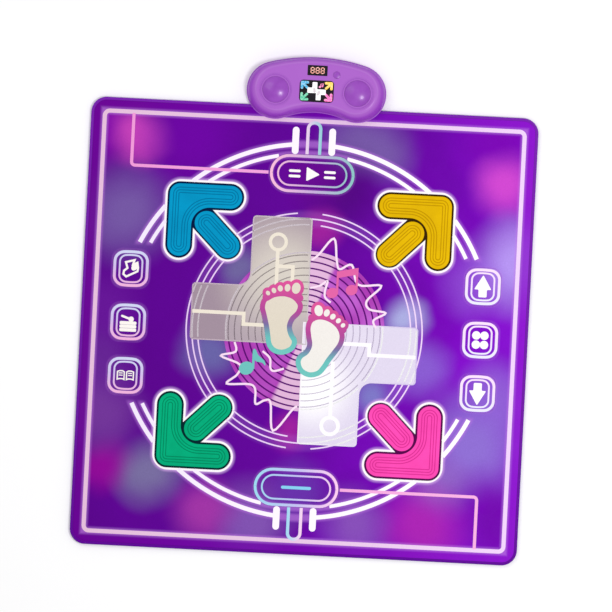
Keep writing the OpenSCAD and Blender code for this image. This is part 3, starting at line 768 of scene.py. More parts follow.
@dataclass(frozen=True)
class PodFinish(Finish):
    """Moulded purple plastic: deeper on the side band as painted shade, lighter on the face.

    Attributes:
        side: Colour of the side band, darker than the face as painted shade.
        face: Colour of the face.
    """

    side: Colour = (150, 62, 190)
    face: Colour = (170, 96, 200)

    def paint(self, kit: ShaderKit, shader: bpy.types.Node) -> None:
        """Feeds the shader with colour by height, a painted highlight along the edge of the face and a
        lighter painted lip, and marks.
        """
        place = kit.position()
        x, y, up = kit.axes(place)
        # Painted shade: the sloping side band below the face takes the darker side colour.
        base = kit.mix(up.fade(30.0, 36.4, 0.0, 1.0), linear(self.side), linear(self.face))
        lobe = kit.span(x.size() - LOBE_X, y - LOBE_Y)
        # Painted highlight: a light line where the side band meets the face, at a quarter strength and left
        # out round the domes.
        crease_highlight = up.fade(35.6, 36.7, 0.0, 1.0) * up.fade(POD_FACE - 0.6, POD_FACE - 0.1)
        crease_highlight = crease_highlight * lobe.fade(38.0, 42.0, 0.0, 0.25)
        base = kit.mix(crease_highlight, base, linear((196, 140, 222)))
        # Painted highlight: the lower lip, below about 11 mm, is lighter.
        base = kit.mix(up.fade(10.4, 11.4, 0.55, 0.0), base, linear((186, 112, 216)))
        kit.feed(shader.inputs["Base Color"], base)
        marks = self.wear(kit, shader, place, 0.1, 0.34)
        shader.inputs["Coat Weight"].default_value = 0.1
        shader.inputs["Coat Roughness"].default_value = 0.2
        self.bump(kit, shader, marks, 0.03)


@dataclass(frozen=True)
class WindowFinish(Finish):
    """A dark glossy display window."""

    def paint(self, kit: ShaderKit, shader: bpy.types.Node) -> None:
        """Feeds the shader with near-black, smeared gloss."""
        place = kit.position()
        kit.feed(shader.inputs["Base Color"], kit.mottle(place, 14.0, 2.0, 0.3, (12, 8, 14), (26, 18, 30)))
        self.wear(kit, shader, place, 0.12, 0.16)
        shader.inputs["Coat Weight"].default_value = 0.2
        shader.inputs["Coat Roughness"].default_value = 0.06


@dataclass(frozen=True)
class LampFinish(Finish):
    """A lit print behind a window.

    Attributes:
        colour: Its colour.
        power: Strength of its light.
    """

    colour: Colour
    power: float

    def paint(self, kit: ShaderKit, shader: bpy.types.Node) -> None:
        """Feeds the shader with a slightly uneven lit colour."""
        glow = kit.mottle(kit.position(), 3.0, 2.0, 0.3, self.colour, (255, 255, 255), 0.3)
        kit.feed(shader.inputs["Base Color"], glow)
        kit.feed(shader.inputs["Emission Color"], glow)
        shader.inputs["Emission Strength"].default_value = self.power
        shader.inputs["Roughness"].default_value = 0.4


@dataclass(frozen=True)
class WeaveFinish(Finish):
    """Dark non-slip cloth with a visible plain weave."""

    def paint(self, kit: ShaderKit, shader: bpy.types.Node) -> None:
        """Feeds the shader with crossed threads."""
        place = kit.position()
        x, y, _ = kit.axes(place)
        thread = (x * 3.2).op("SINE") * (y * 3.2).op("SINE")
        base = kit.mottle(place, 60.0, 3.0, 0.3, (44, 38, 54), (60, 52, 72))
        base = kit.mix(thread.fade(-0.6, 0.6, 0.0, 0.35), base, linear((22, 18, 28)))
        kit.feed(shader.inputs["Base Color"], base)
        shader.inputs["Roughness"].default_value = 0.85
        shader.inputs["Sheen Weight"].default_value = 0.2
        self.bump(kit, shader, thread, 0.15)


@dataclass(frozen=True)
class FloorFinish(Finish):
    """The studio's pale floor."""

    def paint(self, kit: ShaderKit, shader: bpy.types.Node) -> None:
        """Feeds the shader with an almost even white."""
        cloud = kit.noise(kit.position(), 900.0, 2.0)
        base = kit.mix(cloud, (0.98, 0.98, 0.985, 1.0), (0.99, 0.99, 0.99, 1.0))
        kit.feed(shader.inputs["Base Color"], base)
        shader.inputs["Roughness"].default_value = 0.9


# ---------------------------------------------------------------- mesh work


def arc(centre: Point, radius: float, start: float, end: float, steps: int) -> list[Point]:
    """Points along an arc.

    Args:
        centre: Middle of the arc.
        radius: Its radius.
        start: First angle in degrees, counted from +X.
        end: Last angle.
        steps: Number of steps, one less than the number of points.

    Returns:
        The points from start to end.
    """
    turns = [math.radians(start + (end - start) * k / steps) for k in range(steps + 1)]
    return [(centre[0] + radius * math.cos(t), centre[1] + radius * math.sin(t)) for t in turns]


def loop_through(points: Sequence[Point], steps: int = 6) -> list[Point]:
    """A smooth closed line through points.

    Args:
        points: The points in order.
        steps: Steps between two of them.

    Returns:
        The points of the smooth line.
    """
    line: list[Point] = []
    count = len(points)
    for k in range(count):
        p0, p1, p2, p3 = (Vector(points[(k + d) % count]) for d in (-1, 0, 1, 2))
        for s in range(steps):
            t = s / steps
            spot = 0.5 * (
                2 * p1 + (p2 - p0) * t + (2 * p0 - 5 * p1 + 4 * p2 - p3) * t * t
                + (3 * p1 - p0 - 3 * p2 + p3) * t ** 3
            )
            line.append((spot.x, spot.y))
    return line


def curve_through(points: Sequence[Point], steps: int = 5) -> list[Point]:
    """A smooth open line through points, with that many steps between two of them."""
    padded = [points[0], *points, points[-1]]
    return loop_through(padded, steps)[steps: len(points) * steps + 1]


def box_corners(centre: Point, width: float, depth: float, radius: float) -> list[Corner]:
    """Corners of a rounded rectangle, each with its radius."""
    signs = ((1, 1), (-1, 1), (-1, -1), (1, -1))
    return [(centre[0] + sx * width / 2, centre[1] + sy * depth / 2, radius) for sx, sy in signs]


def bowed_corners(centre: Point, width: float, depth: float, radius: float, bow: float) -> list[Corner]:
    """Corners of a rounded rectangle whose upper and lower sides bow outwards.

    Args:
        centre: Its middle.
        width: Its width.
        depth: Its depth over the bows.
        radius: Radius of its corners.
        bow: How far the two sides bow.

    Returns:
        Each corner with its radius.
    """
    if bow == 0:
        return box_corners(centre, width, depth, radius)
    x, y = centre
    upper_right, upper_left, lower_left, lower_right = box_corners(centre, width, depth - 2 * bow, radius)
    top, bottom = ((x, y + way * depth / 2, 2 * width) for way in (1, -1))
    return [upper_right, top, upper_left, lower_left, bottom, lower_right]


@dataclass
class Sheet:
    """A flat print or plate that is drawn in the plane and then gets its thickness.

    Attributes:
        name: Name of the finished piece.
        z: Height of its underside in millimetres.
        thick: Its thickness.
    """

    name: str
    z: float
    thick: float = PRINT_THICK

    def __post_init__(self) -> None:
        """Starts an empty mesh."""
        self.mesh = bmesh.new()
        self.count = 0

    def next_lift(self) -> float:
        """A hair's height for the next shape, so that crossing shapes never share a plane."""
        self.count += 1
        return (self.count % 12) * 0.004

    def outline(self, points: Sequence[Point]) -> bmesh.types.BMFace:
        """Fills a closed outline with one face."""
        lift = self.next_lift()
        corners = [self.mesh.verts.new((x, y, lift)) for x, y in points]
        face = self.mesh.faces.new(corners)
        face.normal_update()
        if face.normal.z < 0:
            face.normal_flip()
        return face

    def region(self, points: Sequence[Point]) -> "Sheet":
        """Adds a filled outline."""
        self.outline(points)
        return self

    def disc(
        self, centre: Point, radius: float, stretch: float = 1.0, turn: float = 0.0, steps: int = 24
    ) -> "Sheet":
        """Adds a filled circle or ellipse.

        Args:
            centre: Its middle.
            radius: Its radius across.
            stretch: Length along over width across.
            turn: Turn in degrees.
            steps: Corners of the outline.

        Returns:
            This sheet.
        """
        turned = Matrix.Rotation(math.radians(turn), 4, "Z") @ Matrix.Diagonal((1, stretch, 1, 1))
        matrix = Matrix.Translation((*centre, self.next_lift())) @ turned
        bmesh.ops.create_circle(self.mesh, cap_ends=True, segments=steps, radius=radius, matrix=matrix)
        return self

    def rounded(self, corners: Sequence[Corner], steps: int = 8) -> bmesh.types.BMFace:
        """Adds a polygon whose corners are rounded.

        Args:
            corners: Each corner with its radius, in order.
            steps: Segments of a rounded corner.

        Returns:
            Its face.
        """
        start = self.outline([(x, y) for x, y, _ in corners])
        by_radius: dict[float, list[bmesh.types.BMVert]] = {}
        for vert in start.verts:
            radius = next(r for x, y, r in corners if abs(vert.co.x - x) + abs(vert.co.y - y) < 1e-4)
            by_radius.setdefault(radius, []).append(vert)
        for radius, verts in by_radius.items():
            if radius > 0:
                bmesh.ops.bevel(
                    self.mesh, geom=verts, offset=radius, offset_type="OFFSET", segments=steps,
                    profile=0.5, affect="VERTICES", material=-1, clamp_overlap=False,
                )
        self.mesh.faces.ensure_lookup_table()
        bmesh.ops.remove_doubles(self.mesh, verts=self.mesh.verts[:], dist=1e-3)
        return max(self.mesh.faces, key=lambda f: f.index)

    def frame(self, corners: Sequence[Corner], width: float, steps: int = 8) -> "Sheet":
        """Adds a rounded frame whose outer edge is the given outline.

        Args:
            corners: Corners of the outer edge, each with its radius.
            width: Width of the frame.
            steps: Segments of a rounded corner.

        Returns:
            This sheet.
        """
        face = self.rounded(corners, steps)
        self.ring(face, width)
        return self

    def ring(self, face: bmesh.types.BMFace, width: float) -> None:
        """Leaves only a band of that width inside a face's edge."""
        bmesh.ops.inset_region(
            self.mesh, faces=[face], thickness=width, depth=0.0, use_even_offset=True, use_boundary=True
        )
        bmesh.ops.delete(self.mesh, geom=[face], context="FACES_ONLY")

    def band(self, points: Sequence[Point], width: float) -> "Sheet":
        """Adds a band inside a closed outline, of that width."""
        self.ring(self.outline(points), width)
        return self

    def stroke(self, points: Sequence[Point], width: float, closed: bool = False) -> "Sheet":
        """Draws a line of even width with mitred bends.

        Args:
            points: The middle of the line.
            width: Its width.
            closed: True to join the end to the start.

        Returns:
            This sheet.
        """
        spots = [Vector(p) for p in points]
        last = len(spots) - 1
        lift = self.next_lift()
        edge = None
        for k, spot in enumerate(spots + ([spots[0]] if closed else [])):
            k %= len(spots)
            before = spots[k - 1] if k > 0 or closed else None
            after = spots[(k + 1) % len(spots)] if k < last or closed else None
            runs = [(spot - before).normalized()] if before is not None else []
            runs += [(after - spot).normalized()] if after is not None else []
            side = sum((Vector((-run.y, run.x)) for run in runs), Vector((0, 0)))
            side = side.normalized() if side.length > 1e-6 else Vector((-runs[0].y, runs[0].x))
            lean = max(0.45, side.dot(Vector((-runs[0].y, runs[0].x))))
            reach = side * (width / 2 / lean)
            if edge is None:
                tips = [self.mesh.verts.new((*(spot + reach * s), lift)) for s in (1, -1)]
                edge = self.mesh.edges.new(tips)
            else:
                made = bmesh.ops.extrude_edge_only(self.mesh, edges=[edge])["geom"]
                edge = next(g for g in made if isinstance(g, bmesh.types.BMEdge))
                tips = [
                    next(e.other_vert(v) for e in v.link_edges if e.other_vert(v) in edge.verts)
                    for v in tips
                ]
                for vert, s in zip(tips, (1, -1)):
                    vert.co = (*(spot + reach * s), lift)
        if closed:
            bmesh.ops.remove_doubles(self.mesh, verts=self.mesh.verts[:], dist=1e-4)
        return self

    def bar(self, start: Point, end: Point, width: float) -> "Sheet":
        """Adds a straight bar with round ends.

        Args:
            start: Middle of one round end.
            end: Middle of the other.
            width: Width of the bar.

        Returns:
            This sheet.
        """
        run = Vector(end) - Vector(start)
        facing = math.degrees(math.atan2(run.y, run.x))
        outline = arc(start, width / 2, facing + 90, facing + 270, 8)
        self.outline(outline + arc(end, width / 2, facing - 90, facing + 90, 8))
        return self

    def finish(self, finish: Finish, body: str = "mat", slot: str = "printed_cover") -> bpy.types.Object:
        """Gives the sheet its thickness and makes it a piece.

        Args:
            finish: Its material.
            body: CAD body it moves with.
            slot: Material slot of the record; not used.

        Returns:
            The piece.
        """
        mesh = self.mesh
        bmesh.ops.recalc_face_normals(mesh, faces=mesh.faces[:])
        for face in mesh.faces:
            if face.normal.z < 0:
                face.normal_flip()
        bottom = set(mesh.verts)
        made = bmesh.ops.extrude_face_region(mesh, geom=mesh.faces[:], use_keep_orig=True)["geom"]
        raised = [g for g in made if isinstance(g, bmesh.types.BMVert)]
        bmesh.ops.translate(mesh, verts=raised, vec=(0, 0, self.thick))
        for face in mesh.faces:
            if all(v in bottom for v in face.verts) and face.normal.z > 0:
                face.normal_flip()
        bmesh.ops.translate(mesh, verts=mesh.verts[:], vec=(0, 0, self.z))
        return make_piece(self.name, mesh, finish, body, smooth=0.0)


def make_piece(
    name: str, mesh: bmesh.types.BMesh, finish: Finish, body: str, smooth: float = 35.0
) -> bpy.types.Object:
    """Turns a mesh drawn in millimetres into a piece that rides on a body.

    Args:
        name: Name of the piece.
        mesh: The mesh, which is freed.
        finish: Its material.
        body: CAD body it moves with.
        smooth: Largest angle in degrees that is shaded smooth, 0 for flat shading.

    Returns:
        The piece.
    """
    bmesh.ops.scale(mesh, vec=(MM, MM, MM), verts=mesh.verts[:])
    mesh.normal_update()
    for face in mesh.faces:
        face.smooth = smooth > 0
    for edge in mesh.edges:
        edge.smooth = len(edge.link_faces) == 2 and edge.calc_face_angle() < math.radians(smooth)
        level = [face.normal.z > LEVEL_Z for face in edge.link_faces]
        if any(level) and not all(level):
            edge.smooth = False
    data = bpy.data.meshes.new(name)
    mesh.to_mesh(data)
    mesh.free()
    data.materials.append(finish.material())
    piece = bpy.data.objects.new(name, data)
    bpy.context.scene.collection.objects.link(piece)
    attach(piece, body)
    LOG.info("piece %s: %d faces, rides on %s", name, len(data.polygons), body)
    return piece


def dress(node: str, finish: Finish) -> None:
    """Gives a CAD node its finish."""
    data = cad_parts[node].data
    data.materials.clear()
    data.materials.append(finish.material())


def smooth_copy(node: str, name: str, finish: Finish, body: str, angle: float) -> bpy.types.Object:
    """Makes a welded, smoothly shaded copy of a CAD node and shows it in the node's place.

    Args:
        node: The CAD node.
        name: Name of the piece.
        finish: Its material.
        body: CAD body it moves with.
        angle: Largest angle in degrees that is shaded smooth.

    Returns:
        The piece.
    """
    mesh = bmesh.new()
    mesh.from_mesh(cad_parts[node].data)
    bmesh.ops.remove_doubles(mesh, verts=mesh.verts[:], dist=2e-6)
    bmesh.ops.scale(mesh, vec=(1 / MM,) * 3, verts=mesh.verts[:])
    piece = make_piece(name, mesh, finish, body, angle)
    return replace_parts(piece, node)


# ---------------------------------------------------------------- the mat


@dataclass
class MatSheets:
    """The layers of the mat, its rim and its non-slip underside.

    Attributes:
        dot_pitch: Distance between the grip dots in millimetres.
        dot_r: Radius of a dot.
        dot_h: How far a dot stands down.
        half: Half the side of the dotted field.
        pod_half: Half the width of the field without dots at the pod.
        pod_y: Where that field begins.
    """

    dot_pitch: float = 30.0
    dot_r: float = 4.0
    dot_h: float = 0.3
    half: float = 435.0
    pod_half: float = 165.0
    pod_y: float = 425.0

    def cover_finish(self) -> CoverFinish:
        """The cover's finish with its soft patches of dye."""
        slate, lilac, magenta = (118, 92, 164), (140, 112, 206), (160, 32, 152)
        return CoverFinish("printed_vinyl", (
            Dye((-430, 400), 100, (144, 4, 180), 0.6), Dye((-362, 388), 80, (214, 74, 188), 0.85),
            Dye((-255, 400), 170, (112, 0, 168), 0.7), Dye((-378, 232), 135, slate, 0.85),
            Dye((85, 395), 90, slate, 0.85), Dye((150, 385), 90, slate, 0.8),
            Dye((60, 300), 130, (74, 0, 116), 0.75), Dye((390, 410), 130, (122, 0, 172), 0.6),
            Dye((400, 320), 95, (206, 70, 204), 0.95), Dye((436, 160), 130, (180, 150, 238), 0.9),
            Dye((340, 110), 90, (146, 84, 212), 0.6), Dye((405, -105), 95, (146, 110, 210), 0.6),
            Dye((365, -215), 145, lilac, 0.9), Dye((305, -305), 95, (144, 104, 190), 0.75),
            Dye((425, -370), 150, (108, 0, 164), 0.85), Dye((265, -395), 125, (170, 34, 174), 0.9),
            Dye((125, -398), 100, (136, 84, 182), 0.8), Dye((-90, -400), 115, (130, 86, 176), 0.85),
            Dye((-190, -385), 90, (164, 54, 164), 0.85), Dye((-308, -312), 95, (120, 112, 158), 0.9),
            Dye((-402, -298), 85, (148, 6, 150), 0.85), Dye((-415, -185), 115, (118, 60, 154), 0.75),
            Dye((-420, -80), 100, (106, 44, 150), 0.6), Dye((-415, 30), 110, (106, 26, 154), 0.6),
            Dye((-200, -54), 80, (104, 104, 166), 0.85), Dye((-138, 120), 60, (112, 108, 156), 0.8),
            Dye((212, 34), 62, (174, 180, 226), 0.85), Dye((150, -124), 62, (124, 124, 196), 0.85),
            Dye((248, -70), 85, (142, 112, 214), 0.6), Dye((26, 214), 62, magenta, 0.85),
            Dye((-22, -205), 62, magenta, 0.85), Dye((0, -326), 90, (102, 50, 168), 0.85),
            Dye((0, 326), 100, (102, 4, 140), 0.8),
        ))

    def build(self) -> None:
        """Makes the grip dots under the mat."""
        mesh = bmesh.new()
        count = int(2 * self.half / self.dot_pitch)
        first = -self.dot_pitch * count / 2
        for row in range(count + 1):
            for column in range(count + 1):
                at = (first + column * self.dot_pitch, first + row * self.dot_pitch)
                if at[1] > self.pod_y and abs(at[0]) < self.pod_half:
                    continue
                matrix = Matrix.Translation((*at, -self.dot_h / 2 + 0.05)) @ Matrix.Rotation(math.pi, 4, "X")
                bmesh.ops.create_cone(
                    mesh, cap_ends=True, segments=10, radius1=self.dot_r, radius2=self.dot_r * 0.7,
                    depth=self.dot_h + 0.1, matrix=matrix,
                )
        rubber = PlainFinish("grip_rubber", (92, 84, 108), (74, 66, 90), 20.0, 0.6, relief=0.04)
        make_piece("grip_dots", mesh, rubber, "mat", smooth=0.0)

    def dress(self) -> None:
        """Dresses the layers that come over from the CAD model."""
        dress("top_cover", self.cover_finish())
        dress("anti_slip_base", WeaveFinish("non_slip_cloth"))
        dress("base_foam", PlainFinish("foam_sheet", (236, 236, 228), (214, 214, 206), 3.0, 0.9, relief=0.2))
        spacer = PlainFinish("spacer_sheet", (244, 242, 232), (226, 222, 208), 2.0, 0.9, relief=0.2)
        dress("spacer_foam", spacer)
        dress("sensor_membrane", PlainFinish("membrane_film", (204, 220, 226), (186, 204, 214), 60.0, 0.25))
        dress("contact_pattern", PlainFinish("carbon_print", (52, 52, 56), (36, 36, 40), 2.0, 0.7))
        dress("edge_rim", RimFinish("rim_band"))


def arrow_gap(x: float, y: float) -> float:
    """Distance in millimetres from the outline of the nearest arrow pad, negative inside it.

    Args:
        x: Across.
        y: Along.

    Returns:
        The distance.
    """
    far, near = max(abs(x), abs(y)), min(abs(x), abs(y))
    bar = math.hypot(far - BAR_FAR, near - min(max(near, BAR_NEAR), BAR_FAR)) - BAR_HALF
    along, across = (far + near) * DIAGONAL, (far - near) * DIAGONAL
    shaft = math.hypot(along - min(max(along, SHAFT_NEAR), SHAFT_FAR), across) - SHAFT_HALF
    return min(bar, shaft)


def pill_gap(x: float, y: float) -> float:
    """Distance in millimetres from the outline of the nearer long pad, negative inside it."""
    return math.hypot(max(abs(x) - PILL_STRAIGHT, 0.0), abs(y) - PILL_Y) - PILL_R


def runs_where(points: Sequence[Point], wanted: Callable[[float, float], bool]) -> list[list[Point]]:
    """Keeps the stretches of a line whose points are wanted.

    Args:
        points: The line, in small steps.
        wanted: Tells whether a place is wanted.

    Returns:
        The stretches.
    """
    runs: list[list[Point]] = [[]]
    for x, y in points:
        if wanted(x, y):
            runs[-1].append((x, y))
        elif runs[-1]:
            runs.append([])
    return [run for run in runs if len(run) > 1]


def open_runs(points: Sequence[Point], clear: float) -> list[list[Point]]:
    """Keeps the stretches of a line that stay that clear of the pads, in millimetres."""
    return runs_where(points, lambda x, y: min(arrow_gap(x, y), pill_gap(x, y)) > clear)


@dataclass
class LinePrint:
    """The neon lines on the cover.

    Attributes:
        border_w: Width of the border line.
        cut_y: Half the height of the gap at each side of the big rings.
        clear: Distance that the rings keep from the pads.
        bar_x: Distance of the upright bars from the middle.
        line_w: Width of the loops and of the pink lines.
    """

    border_w: float = 8.6
    cut_y: float = 167.0
    clear: float = 2.0
    bar_x: float = 38.0
    line_w: float = 6.5
    white: InkFinish = InkFinish("white_ink", even((236, 224, 246), (252, 244, 254), (255, 250, 255)))

    def build(self) -> None:
        """Prints every line of this group."""
        self.border()
        self.big_rings()
        self.thin_rings()
        self.bars_and_loops()
        self.connectors()

    def border(self) -> None:
        """Prints the square line near the rim."""
        side = 2 * BORDER_AT + self.border_w
        stops = ((0.0, (226, 188, 216)), (0.55, (228, 196, 226)), (1.0, (236, 208, 246)))
        sheet = Sheet("border_line", Layer.RINGS.height())
        sheet.frame(box_corners((0, 0), side, side, 15.0), self.border_w)
        sheet.finish(InkFinish("border_ink", stops))

    def big_rings(self) -> None:
        """Prints the white double ring in an upper and a lower half."""
        sheet = Sheet("double_ring", Layer.GROOVES.height())
        for radius, width in ((OUTER_RING, 9.0), (INNER_RING, 7.5)):
            low = math.degrees(math.asin(self.cut_y / radius))
            stop = math.degrees(math.acos(self.bar_x / radius))
            for start, end in ((low, stop), (180 - stop, 180 - low)):
                for turn in (0, 180):
                    for run in open_runs(arc((0, 0), radius, start + turn, end + turn, 120), self.clear):
                        sheet.stroke(run, width)
        sheet.finish(self.white)

    def thin_rings(self) -> None:
        """Prints the three fine rings round the record, two of them open above and below."""
        sheet = Sheet("fine_rings", Layer.RINGS.height())
        opened = ((96, 264), (276, 444))
        for radius, spans in zip(FINE_RINGS, (opened, ((90, 450),), opened)):
            for start, end in spans:
                for run in open_runs(arc((0, 0), radius, start, end, 240), self.clear):
                    sheet.stroke(run, 3.0)
        sheet.finish(InkFinish("fine_ring_ink", even((226, 196, 238), (240, 216, 248))))

    def bars_and_loops(self) -> None:
        """Prints the bars and the loops that join the long pads to the border."""
        bars = Sheet("upright_bars", Layer.RINGS.height())
        for side in (-1, 1):
            for way, far in ((1, 416.0), (-1, 408.0)):
                bars.bar((side * self.bar_x, way * 373.0), (side * self.bar_x, way * far), 14.0)
        bars.finish(self.white)
        for name, way, stops in (
            ("top", 1, even((238, 206, 236), (140, 205, 212))),
            ("bottom", -1, even((150, 214, 236), (246, 206, 236))),
        ):
            sheet = Sheet(f"{name}_loop", Layer.CROSS.height())
            bend = arc((0, way * 420.0), 13.0, 180, 180 - way * 180, 16)
            sheet.stroke([(-13.0, way * 367.0), *bend, (13.0, way * 367.0)], self.line_w)
            sheet.finish(InkFinish(f"{name}_loop_ink", stops, (-17.0, 0.0), (17.0, 0.0)))

    def connectors(self) -> None:
        """Prints the two pink lines from the long pads to the border."""
        sheet = Sheet("rose_lines", Layer.CROSS.height())
        for way in (1, -1):
            bend = arc((-way * 369.0, way * 333.0), 7.0, 270 if way > 0 else 90, 180 if way > 0 else 0, 6)
            sheet.stroke([(-way * 91.0, way * PILL_Y), *bend, (-way * 376.0, way * 434.0)], self.line_w)
        sheet.finish(InkFinish("rose_line_ink", even((236, 150, 212), (244, 178, 224))))


# ---------------------------------------------------------------- pads


@dataclass
class ArrowPad:
    """One raised arrow: a dark plate with a bent bar and a short bar on it.

    Attributes:
        colour: Name of the arrow's body and CAD node after "arrow_".
        corner: Place of its outer corner.
        turn: Turn in degrees of the shape drawn for the upper left.
        crest: Colour of its ribs.
        groove: Colour of its grooves, painted as their shade.
        edge: Colour of the dark plate, painted as the shade of the gap round the bars.
        inset: Width of the dark border in millimetres.
        hollow: Radius of the bent bar's hollow, where the short bar starts.
        thick: Thickness of the dark plate.
    """

    colour: str
    corner: Point
    turn: float
    crest: Colour
    groove: Colour
    edge: Colour
    inset: float = 3.5
    hollow: float = 38.0
    thick: float = 1.7

    def place(self, mesh: bmesh.types.BMesh, z: float) -> None:
        """Carries a drawn mesh to its corner of the mat, at height z."""
        turned = Matrix.Rotation(math.radians(self.turn), 4, "Z")
        bmesh.ops.transform(mesh, matrix=Matrix.Translation((*self.corner, z)) @ turned, verts=mesh.verts[:])

    @staticmethod
    def bent_outline(inset: float, inner: Sequence[Point]) -> list[Point]:
        """Outline of the bent bar, clockwise from its outer corner.

        Args:
            inset: How far it lies inside the plate's edge.
            inner: The stretch between its two ends.

        Returns:
            The outline.
        """
        corner = arc((ARROW_R, -ARROW_R), ARROW_R - inset, 180, 90, 10)
        right = arc((BAR_END, -BAR_HALF), BAR_HALF - inset, 90, -90, 20)
        return corner + right + list(inner) + arc((BAR_HALF, -BAR_END), BAR_HALF - inset, 0, -180, 20)

    def plate_outline(self) -> list[Point]:
        """Outline of the whole arrow."""
        width = 2 * BAR_HALF
        notch = 2 * SHAFT_HALF * DIAGONAL + width
        tip = arc((SHAFT_END, -SHAFT_END), SHAFT_HALF, 45, -135, 20)
        return self.bent_outline(0.0, [(notch, -width), *tip, (width, -notch)])

    def bent_bar(self) -> list[Point]:
        """Outline of the bent bar inside the dark border."""
        middle = 2 * BAR_HALF - self.inset + self.hollow
        return self.bent_outline(self.inset, arc((middle, -middle), self.hollow, 90, 180, 16))

    def short_bar(self) -> list[Point]:
        """Outline of the short bar."""
        r = SHAFT_HALF - self.inset * 0.6
        return arc((83, -83), r, 225, 45, 20) + arc((SHAFT_END, -SHAFT_END), r, 45, -135, 20)

    def build(self) -> None:
        """Makes the plate and the two ribbed bars."""
        body = f"arrow_{self.colour}"
        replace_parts(self.plate(body), body)
        ribs = bmesh.new()
        for line in (self.bent_bar(), self.short_bar()):
            self.ribbed(ribs, line)
        self.place(ribs, PAD_TOP)
        finish = ReliefFinish(f"{self.colour}_vinyl", self.crest, self.groove)
        make_piece(f"{body}_ribs", ribs, finish, body, smooth=50.0)

    def plate(self, body: str) -> bpy.types.Object:
        """Makes the dark plate with its softened upper edge."""
        plate = bmesh.new()
        face = plate.faces.new([plate.verts.new((x, y, 0.0)) for x, y in self.plate_outline()])
        raised = bmesh.ops.extrude_face_region(plate, geom=[face], use_keep_orig=True)["geom"]
        top = [g for g in raised if isinstance(g, bmesh.types.BMVert)]
        bmesh.ops.translate(plate, verts=top, vec=(0, 0, self.thick))
        bmesh.ops.recalc_face_normals(plate, faces=plate.faces[:])
        rim = [e for e in plate.edges if all(v in top for v in e.verts) and len(e.link_faces) == 2
               and abs(e.link_faces[0].normal.z - e.link_faces[1].normal.z) > 0.5]
        bmesh.ops.bevel(plate, geom=rim, offset=0.35, segments=2, profile=0.5, affect="EDGES", material=-1)
        self.place(plate, PAD_TOP - self.thick)
        # Painted shade: the plate's dark colour, seen as a border round the bars, stands in for the gap
        # between pad and cover.
        dark = PlainFinish(f"{self.colour}_plate", self.edge, self.edge, 30.0, 0.42)
        return make_piece(f"{body}_plate", plate, dark, body)

    @staticmethod
    def ribbed(mesh: bmesh.types.BMesh, line: Sequence[Point]) -> None:
        """Raises an outline into a soft bar with three grooves that follow its edge.

        Args:
            mesh: The mesh that the bar is added to.
            line: Outline of the bar.
        """
        face = mesh.faces.new([mesh.verts.new((x, y, 0.0)) for x, y in line])
        face.normal_update()
        if face.normal.z < 0:
            face.normal_flip()
        made = bmesh.ops.extrude_face_region(mesh, geom=[face])["geom"]
        raised = [g for g in made if isinstance(g, bmesh.types.BMVert)]
        bmesh.ops.translate(mesh, verts=raised, vec=(0, 0, 1.1))
        face = next(g for g in made if isinstance(g, bmesh.types.BMFace))
        shoulder = [(0.25, 0.4), (0.45, 0.2), (0.8, 0.1), (5.2, 0.0)]
        groove = [(0.5, -0.2), (0.45, -0.35), (0.9, 0.0), (0.45, 0.35), (0.5, 0.2)]
        rib = [(2.8, 0.0)]
        for width, rise in shoulder + groove + rib + groove + rib + groove:
            bmesh.ops.inset_region(
                mesh, faces=[face], thickness=width, depth=rise, use_even_offset=True, use_boundary=True
            )


@dataclass
class FramedPad:
    """A long or small pad with a double neon frame and a symbol.

    Attributes:
        body: CAD body and node of the pad.
        centre: Its middle.
        size: Width and depth of its outer frame.
        inner: Width and depth of its inner frame.
        radii: Corner radii of the outer and the inner frame.
        stops: Colours of the frames.
        upright: True if the colours run from top to bottom.
        bow: How far the frames' upper and lower sides bow out.
        draw: Draws the symbol on a sheet.
    """

    body: str
    centre: Point
    size: Point
    inner: Point
    radii: Point
    stops: Stops
    upright: bool
    bow: float
    draw: Callable[[Sheet, Point], None]

    def build(self) -> None:
        """Prints the frames and the symbol."""
        x, y = self.centre
        run = Vector((0, -self.size[1] / 2)) if self.upright else Vector((self.size[0] / 2, 0))
        ink = InkFinish(f"{self.body}_ink", self.stops, (x - run.x, y - run.y), (x + run.x, y + run.y))
        for part, size, radius, width in (
            ("frames", self.size, self.radii[0], 5.8), ("inner_frame", self.inner, self.radii[1], 3.7),
        ):
            sheet = Sheet(f"{self.body}_{part}", PAD_PRINT)
            sheet.frame(bowed_corners(self.centre, *size, radius, self.bow), width)
            sheet.finish(ink, self.body, "printed_pad")
        symbol = Sheet(f"{self.body}_symbol", PAD_PRINT)
        self.draw(symbol, self.centre)
        symbol.finish(self.symbol_ink(), self.body, "printed_pad")

    def symbol_ink(self) -> InkFinish:
        """Ink of the symbol."""
        if self.body == "select_pad":
            return InkFinish("dash_ink", even((126, 204, 234), (140, 206, 236)))
        return InkFinish("symbol_ink", even((248, 242, 236), (254, 250, 252)))


